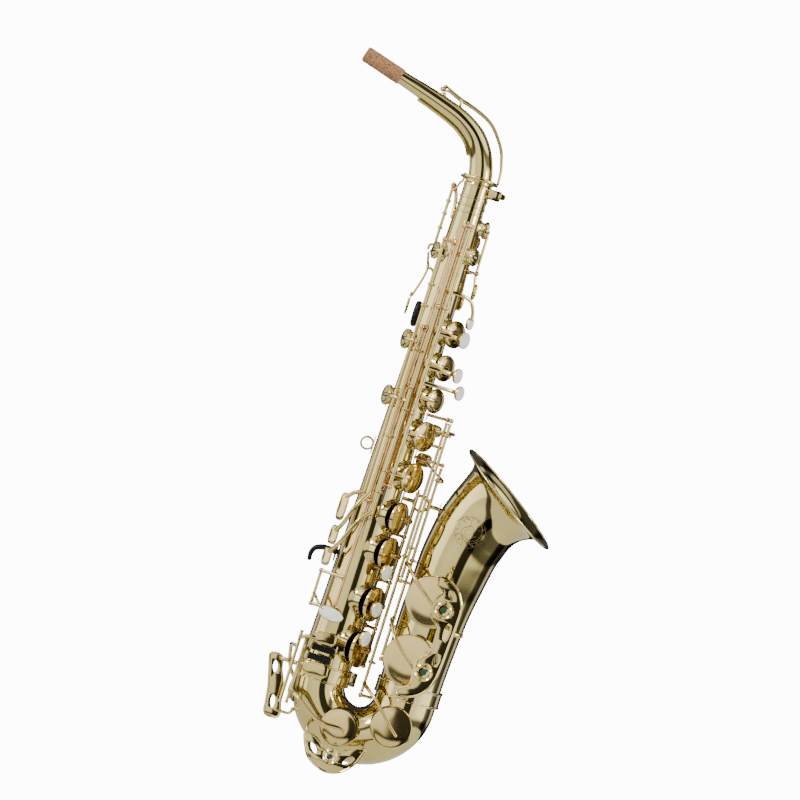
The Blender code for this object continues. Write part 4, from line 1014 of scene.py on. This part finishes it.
def posts_and_rods():
    tubes = [*zip(SIDE_LINES, (parts[0] for parts in SIDE_KEYS.values())), (LOW_EB_LINE, TRILL_SPAN)]
    # Name, phi of the rib, its v from and to, its width, and each post's hinge line and v
    groups = (
        ("upper_stack_posts", 90.0, 34, 313, 5, [(UPPER_LINE, v) for v in (38.5, 123.0, 232.0, 308.0)]),
        ("lower_stack_posts", -14.0, 340, 491, 4, [(LOWER_LINE, v) for v in (352.7, 400.7, 448.7, 487.4)]),
        ("side_key_posts", 113.0, 52, 446, 3.6,
         [(line, v) for line, (v_from, v_to) in tubes for v in (v_from - 2.6, v_to + 2.6)]),
    )
    springs = Form()
    screws = Form()
    for name, phi, v_from, v_to, width, stations in groups:
        form = Form()
        rib(form, phi, v_from, v_to, width)
        for line, v in stations:
            post(form, screws, rib_foot(phi, v), line, v)
            x, y, _ = halfway((*line, v), rib_foot(phi, v))
            springs.sweep(((x, y, v), (x + 0.6, y - 0.4, v + 24 if v < 480 else v - 24)), 0.32, 6, cap=False)
        form.make(name + "_turned", (name,), ROD_BRASS, slot="post_brass")
    screws.make("pivot_screws", finish=STEEL, slot="steel")
    springs.make("needle_springs", finish=STEEL, slot="steel")

    palm = Form()
    palm.sweep([rib_foot(phi, PALM_HINGE_V) for phi in range(10, -121, -10)], 2.4, 12, flat=0.5, up=X_AXIS, per_span=3)
    for name in PALM_TOUCH:
        phi = HOLE[name][1]
        out = around(phi)
        side = (-out[1], out[0])
        for offset in (-5.4, 5.4):
            low = along(rib_foot(phi, PALM_HINGE_V), side, offset)
            high = along(low, out, PALM_HINGE_LIFT - 1.6)
            palm.sweep((low, high), 1.5, 14, taper=1.2)
            palm.ball(high, 1.9)
    palm.make("palm_key_saddles", ("palm_key_posts",), ROD_BRASS, slot="post_brass")

    octave = Form()
    rib(octave, -158.0, 27, 96, 4)
    for v in (1.6, 71.6):
        octave.ball((*OCTAVE_LINE, v), 2.2)
    octave.sweep(((*OCTAVE_LINE, 1.6), (-21.5, 11, 2), (-17, 10.5, 14), (-15.2, 6.3, 33)), 2.0, 16)
    for v in (1.6, 71.6):
        octave.ball((*OCTAVE_LINE, v), 2.9)
    octave.sweep(((*OCTAVE_LINE, 71.6), (-16.2, 6.5, 73)), 1.7, 14)
    for y in (1.4, 10.6):
        octave.ball((-23, y, 88), 1.7)
        octave.sweep(((-23, y, 88), (-18.5, y, 89), (-16.6, 6.6, 92)), 1.3, 12)
    octave.make("octave_saddles", ("octave_posts",), ROD_BRASS, slot="post_brass")

    # Name, route, hinge lines, their v, and the foot plate's centre, half length and half width
    a, b, c = BELL_LINES
    brackets = (
        ("bell_rod_post_top", ((21, 0, 229), (36, -5, 228.5), (*c, 228)), (c, a), 228, ((21.2, 0, 231), 5, 2.5)),
        ("bell_rod_post_upper", ((22, 6, 273), (40, 6, 273), (50, 3, 273), (*b, 273)), (b,), 273, ((22, 6, 273), 7, 3)),
        ("bell_rod_post_middle", ((*a, 394.5), (52, -17, 394.5), (57.2, -17, 394.5)), (a,), 394.5,
         ((57.3, -17.5, 394.5), 6.5, 2.4)),
        ("bell_rod_post_lower", ((*b, 474.7), (54.4, -10, 474.7)), (b,), 474.7, ((54.4, -10, 474.5), 6.5, 3.5)),
        ("bell_rod_post_bow", ((*c, 515.6), (47.5, -4, 515.6), (53.0, -3, 515.6)), (c,), 515.6,
         ((53.1, -3, 515), 4.2, 3.4)),
    )
    for name, route, lines, v, foot in brackets:
        form = Form()
        form.sweep(route, 1.7, 14)
        for line in lines:
            form.ball((*line, v), 2.7)
        if len(lines) == 2:
            form.sweep(((*lines[0], v), (*lines[1], v)), 1.6, 14)
        form.pillow(foot[0], Z_AXIS, X_AXIS, foot[1], foot[2], 0.75)
        form.make(name + "_bracket", (name,), ROD_BRASS, slot="post_brass")

    rods = (("upper_stack_rod", UPPER_LINE, 35.5, 311), ("lower_stack_rod", LOWER_LINE, 303, 490))
    for name, line, v_from, v_to in rods:
        rod = Form()
        length = v_to - v_from
        rod.turned((*line, v_to), Z_AXIS, (
            (0, 0), (0.9, 0), (1.1, 0.3), (1.1, length - 0.3), (0.9, length), (0, length),
        ), 18)
        rod.make(name + "_steel", (name,), STEEL, slot="steel")


def leaf(x, v, length, width, lean):
    """Outline of a pointed window, its length along v leaning by lean degrees."""
    turn = math.radians(lean)
    spots = []
    for c, s in circle(20):
        along_v = length / 2 * c
        across = width / 2 * s * abs(s) ** 0.3
        spots.append((x + across * math.cos(turn) - along_v * math.sin(turn),
                      v + along_v * math.cos(turn) + across * math.sin(turn)))
    return spots


def ring_spots(x, v, r):
    return [(x + r * c, v + r * s) for c, s in circle(40)]


def sheet_of(outline, windows, y):
    """Stamped sheet facing the player's right, with its windows cut through and its edges rounded."""
    soften = 0.35
    curve = bpy.data.curves.new("sheet", "CURVE")
    curve.dimensions = "2D"
    curve.fill_mode = "BOTH"
    curve.extrude = (GUARD_THICKNESS / 2 - soften) * MM
    curve.bevel_depth = soften * MM
    curve.bevel_resolution = 2
    curve.offset = -soften * MM
    for spots in (outline, *windows):
        line = curve.splines.new("POLY")
        line.points.add(len(spots) - 1)
        line.use_cyclic_u = True
        for spot, (x, v) in zip(line.points, spots):
            spot.co = ((x - STRAP_RING.x) * MM, (STRAP_RING.z - v) * MM, 0.0, 1.0)
    holder = placed("sheet", curve)
    mesh = evaluated(holder)
    bpy.data.objects.remove(holder)
    mesh.transform(Matrix.Translation((0, y * MM, 0)) @ Matrix.Rotation(math.pi / 2, 4, "X"))
    return mesh


def closed_smooth(spots):
    """Closed outline through (x, v) spots as a smooth curve."""
    per_span = 4
    ring = [*spots[-2:], *spots, *spots[:2]]
    curve = smoothed(ring, per_span)
    return [(p[0], p[1]) for p in curve[2 * per_span:-2 * per_span - 1][: len(spots) * per_span]]


def guard(name, cad_node, outline, windows, y, rounds, felts, holder_r, legs):
    outline = closed_smooth(outline)
    bore = holder_r - 3.3
    felt_windows = [ring_spots(x, v, bore) for x, v in rounds]
    mesh = sheet_of(outline, [*windows, *felt_windows], y)
    form = Form()
    form.bm.from_mesh(mesh)
    bmesh.ops.remove_doubles(form.bm, verts=form.bm.verts, dist=1e-6)
    bead = [(x, y - 0.9, v) for x, v in outline]
    form.sweep([*bead, bead[0], bead[1]], 1.15, 10, per_span=1, cap=False)
    for x, v in rounds:
        form.turned((x, y, v), TO_RIGHT, (
            (bore, -1.6), (holder_r - 0.6, -1.6), (holder_r, -1.0), (holder_r, 1.2), (holder_r - 0.8, 2.0),
            (holder_r - 1.6, 1.5), (holder_r - 2.4, 2.0), (bore, 1.4),
        ), 48, loop=True)
    for leg in legs:
        form.sweep(leg, 2.3, 16, flat=0.7, up=X_AXIS)
        form.ball(leg[-1], 2.5)
    form.make(name, (cad_node,), slot="guard_brass")
    for felt_node, (x, v) in zip(felts, rounds):
        r = holder_r - 3.7
        holder = Form()
        holder.turned((x, y - 1.0, v), TO_RIGHT, (
            (0, 0), (r, 0), (r, 1.2), (r - 0.5, 1.6), (r * 0.58, 1.3), (r * 0.56, 0.5), (0, 0.5),
        ), 36)
        holder.make(felt_node + "_cap", finish=KEY_BRASS, slot="guard_brass")
        felt = Form()
        felt.turned((x, y + 3.2, v), TO_RIGHT, (
            (0, 0), (r * 0.9, 0), (r, 0.4), (r, 3.6), (r * 0.54, 4.2), (r * 0.52, 5.3), (r * 0.36, 5.6), (0, 5.6),
        ), 32)
        felt.make(felt_node + "_felt", (felt_node,), FELT, slot="green_felt")


def guards():
    y = -59.0
    guard("bell_guard_sheet", "bell_key_guard", (
        (80, 377), (90, 378), (100, 383), (106, 391), (110, 402), (110, 420), (109, 440), (108, 460), (106, 476),
        (102, 486), (95, 494), (85, 499), (75, 500), (74, 494), (83, 488), (84, 478), (84, 462), (93, 452),
        (94, 436), (92, 424), (84, 416), (83, 400), (88, 390), (80, 384),
    ), [leaf(96.4, 391, 11, 4, -30), leaf(102.6, 427, 18, 5, 0), leaf(101, 456, 13, 5, 5)], y, [(93.5, 407), (93, 471)],
        ("bell_bumper_upper", "bell_bumper_lower"), 9.4, (
        ((89, y + 1, 381), (90, y + 7, 371), (90, -37.6, 366.5)),
        ((107.6, y + 1, 427), (118, y + 9, 427), (118.4, -21, 427)),
        ((83, y + 1, 495), (84, y + 8, 501), (85, -34.8, 503)),
    ))
    y = -52.0
    guard("low_c_guard_sheet", "low_c_guard", (
        (0, 562), (3, 573), (10, 585), (22, 592), (33, 594), (45, 590), (55, 580), (60, 568), (61, 562), (52, 563),
        (44, 568), (38, 574), (24, 574), (17, 568), (9, 563),
    ), [leaf(13, 575, 12, 4.4, -40), leaf(48.5, 577, 12, 4.4, 40)], y, [(31, 578)], ("low_c_bumper",), 8.0, (
        ((3, y + 1, 565), (0, y + 6, 557), (2, -26.2, 553)), ((58, y + 1, 566), (58.5, y + 6, 560), (58, -30.4, 557)),
    ))
    guard("back_guard_sheet", "back_guard", (
        (-57, 505), (-45, 503), (-41, 516), (-36, 528), (-33, 545), (-30, 562), (-44, 563), (-47, 548), (-50, 530),
    ), [leaf(-48, 515, 12, 4.4, -12), leaf(-40, 549, 13, 4.4, -10)], 4.0, [], (), 6.0, (
        ((-36, 4, 556), (-22, 4, 556), (-18.5, 4, 551)), ((-46, 4, 505), (-42, -2, 505), (-29.4, -2, 505)),
    ))


# Room, light and camera


# Brightness round the room: behind the object at 0 and 1, its left at 0.25, the camera at 0.5, its right at 0.75
ROOM_BANDS = (
    (0.0, 0.02), (0.11, 0.03), (0.125, 0.36), (0.18, 0.30), (0.19, 0.03), (0.205, 0.04), (0.215, 0.80), (0.25, 0.95),
    (0.335, 0.85), (0.35, 0.40), (0.42, 0.50), (0.495, 0.48), (0.503, 0.015), (0.570, 0.012), (0.58, 0.60),
    (0.60, 0.50), (0.66, 0.80), (0.74, 0.90), (0.755, 0.10), (0.80, 0.02), (0.83, 0.03), (0.845, 0.34), (0.88, 0.28),
    (0.89, 0.02),
)
# Brightness from the floor at 0 to straight overhead at 1
ROOM_LEVELS = (
    (0.0, 0.30), (0.26, 0.50), (0.29, 0.06), (0.38, 0.05), (0.41, 0.80), (0.55, 0.92), (0.66, 1.0), (0.69, 0.12),
    (0.74, 0.10), (0.77, 1.0), (0.93, 0.8), (1.0, 0.2),
)
ROOM_STRENGTH = 3.9
BACKDROP_STRENGTH = 13.0
# Name, place, energy and size of each lamp
LAMPS = (("key_light", (-1.9, -1.7, 1.6), 40, 0.7), ("fill_light", (2.1, -1.2, 0.7), 22, 0.6))
LAMPS_AIM = Vector((0.03, 0.0, 0.0))
FLOOR_Z = -0.75


def lay_floor():
    bm = bmesh.new()
    bmesh.ops.create_circle(bm, cap_ends=True, segments=64, radius=1.5)
    mesh = bpy.data.meshes.new("floor")
    bm.to_mesh(mesh)
    bm.free()
    made, tree, shader = shader_of("pale_floor")
    colour = ramp(tree, noise(tree, 3.0), ((0.3, (0.86, 0.86, 0.86)), (0.7, (0.90, 0.90, 0.89))))
    fill(tree, shader, {"Base Color": colour, "Roughness": 0.8})
    mesh.materials.append(made)
    floor = placed("floor", mesh)
    floor.location = (0.0, 0.0, FLOOR_Z)


def room():
    """Softbox room that only reflections see, with a white backdrop for the camera."""
    world = bpy.data.worlds.new("studio")
    world.use_nodes = True
    bpy.context.scene.world = world
    tree = world.node_tree
    tree.nodes.clear()
    way = node(tree, "SeparateXYZ", {"Vector": node(tree, "TexCoord", {}).outputs["Generated"]})
    back = node(tree, "Math", {0: way.outputs["Y"], 1: -1.0}, operation="MULTIPLY")
    turn = node(tree, "Math", {0: way.outputs["X"], 1: back.outputs[0]}, operation="ARCTAN2")
    grey = [[(place, (level, level, level)) for place, level in stops] for stops in (ROOM_BANDS, ROOM_LEVELS)]
    wheel = ramp(tree, spread(tree, turn.outputs[0], 0.0, 1.0, -math.pi, math.pi), grey[0])
    tilt = ramp(tree, spread(tree, way.outputs["Z"], 0.0, 1.0, -1.0, 1.0), grey[1])
    both = node(tree, "Mix", {"Factor": 1.0, "A": wheel, "B": tilt}, data_type="RGBA", blend_type="MULTIPLY")
    walls = node(tree, "Background", {"Color": both.outputs["Result"], "Strength": ROOM_STRENGTH})
    seen = node(tree, "Background", {"Color": (1.0, 1.0, 1.0, 1.0), "Strength": BACKDROP_STRENGTH})
    to_camera = node(tree, "LightPath", {}).outputs["Is Camera Ray"]
    mix = node(tree, "MixShader", {"Fac": to_camera, 1: walls.outputs["Background"], 2: seen.outputs["Background"]})
    node(tree, "OutputWorld", {"Surface": mix.outputs["Shader"]})


def lamps():
    for name, place, energy, size in LAMPS:
        lamp = bpy.data.lights.new(name, "AREA")
        lamp.energy = energy
        lamp.size = size
        holder = placed(name, lamp)
        holder.location = place
        holder.rotation_euler = (LAMPS_AIM - Vector(place)).to_track_quat("-Z", "Y").to_euler()


def camera():
    distance = 3.2
    view_width = 0.8
    roll = math.radians(17.59)
    centre = point(-9.5, 0, 223.3)
    lens = bpy.data.cameras.new("camera")
    lens.lens = 36.0 * distance / view_width
    holder = placed("camera", lens)
    right = Vector((math.cos(roll), 0, math.sin(roll)))
    up = Vector((-math.sin(roll), 0, math.cos(roll)))
    matrix = Matrix((right, up, TO_RIGHT)).transposed().to_4x4()
    matrix.translation = centre + TO_RIGHT * distance
    holder.matrix_world = matrix
    bpy.context.scene.camera = holder


lay_floor()
room()
lamps()
camera()
body_tube()
bow()
bell()
fittings()
neck()
stack_keys()
top_keys()
side_keys()
trill_key()
palm_keys()
octave_keys()
bell_keys()
low_keys()
posts_and_rods()
guards()
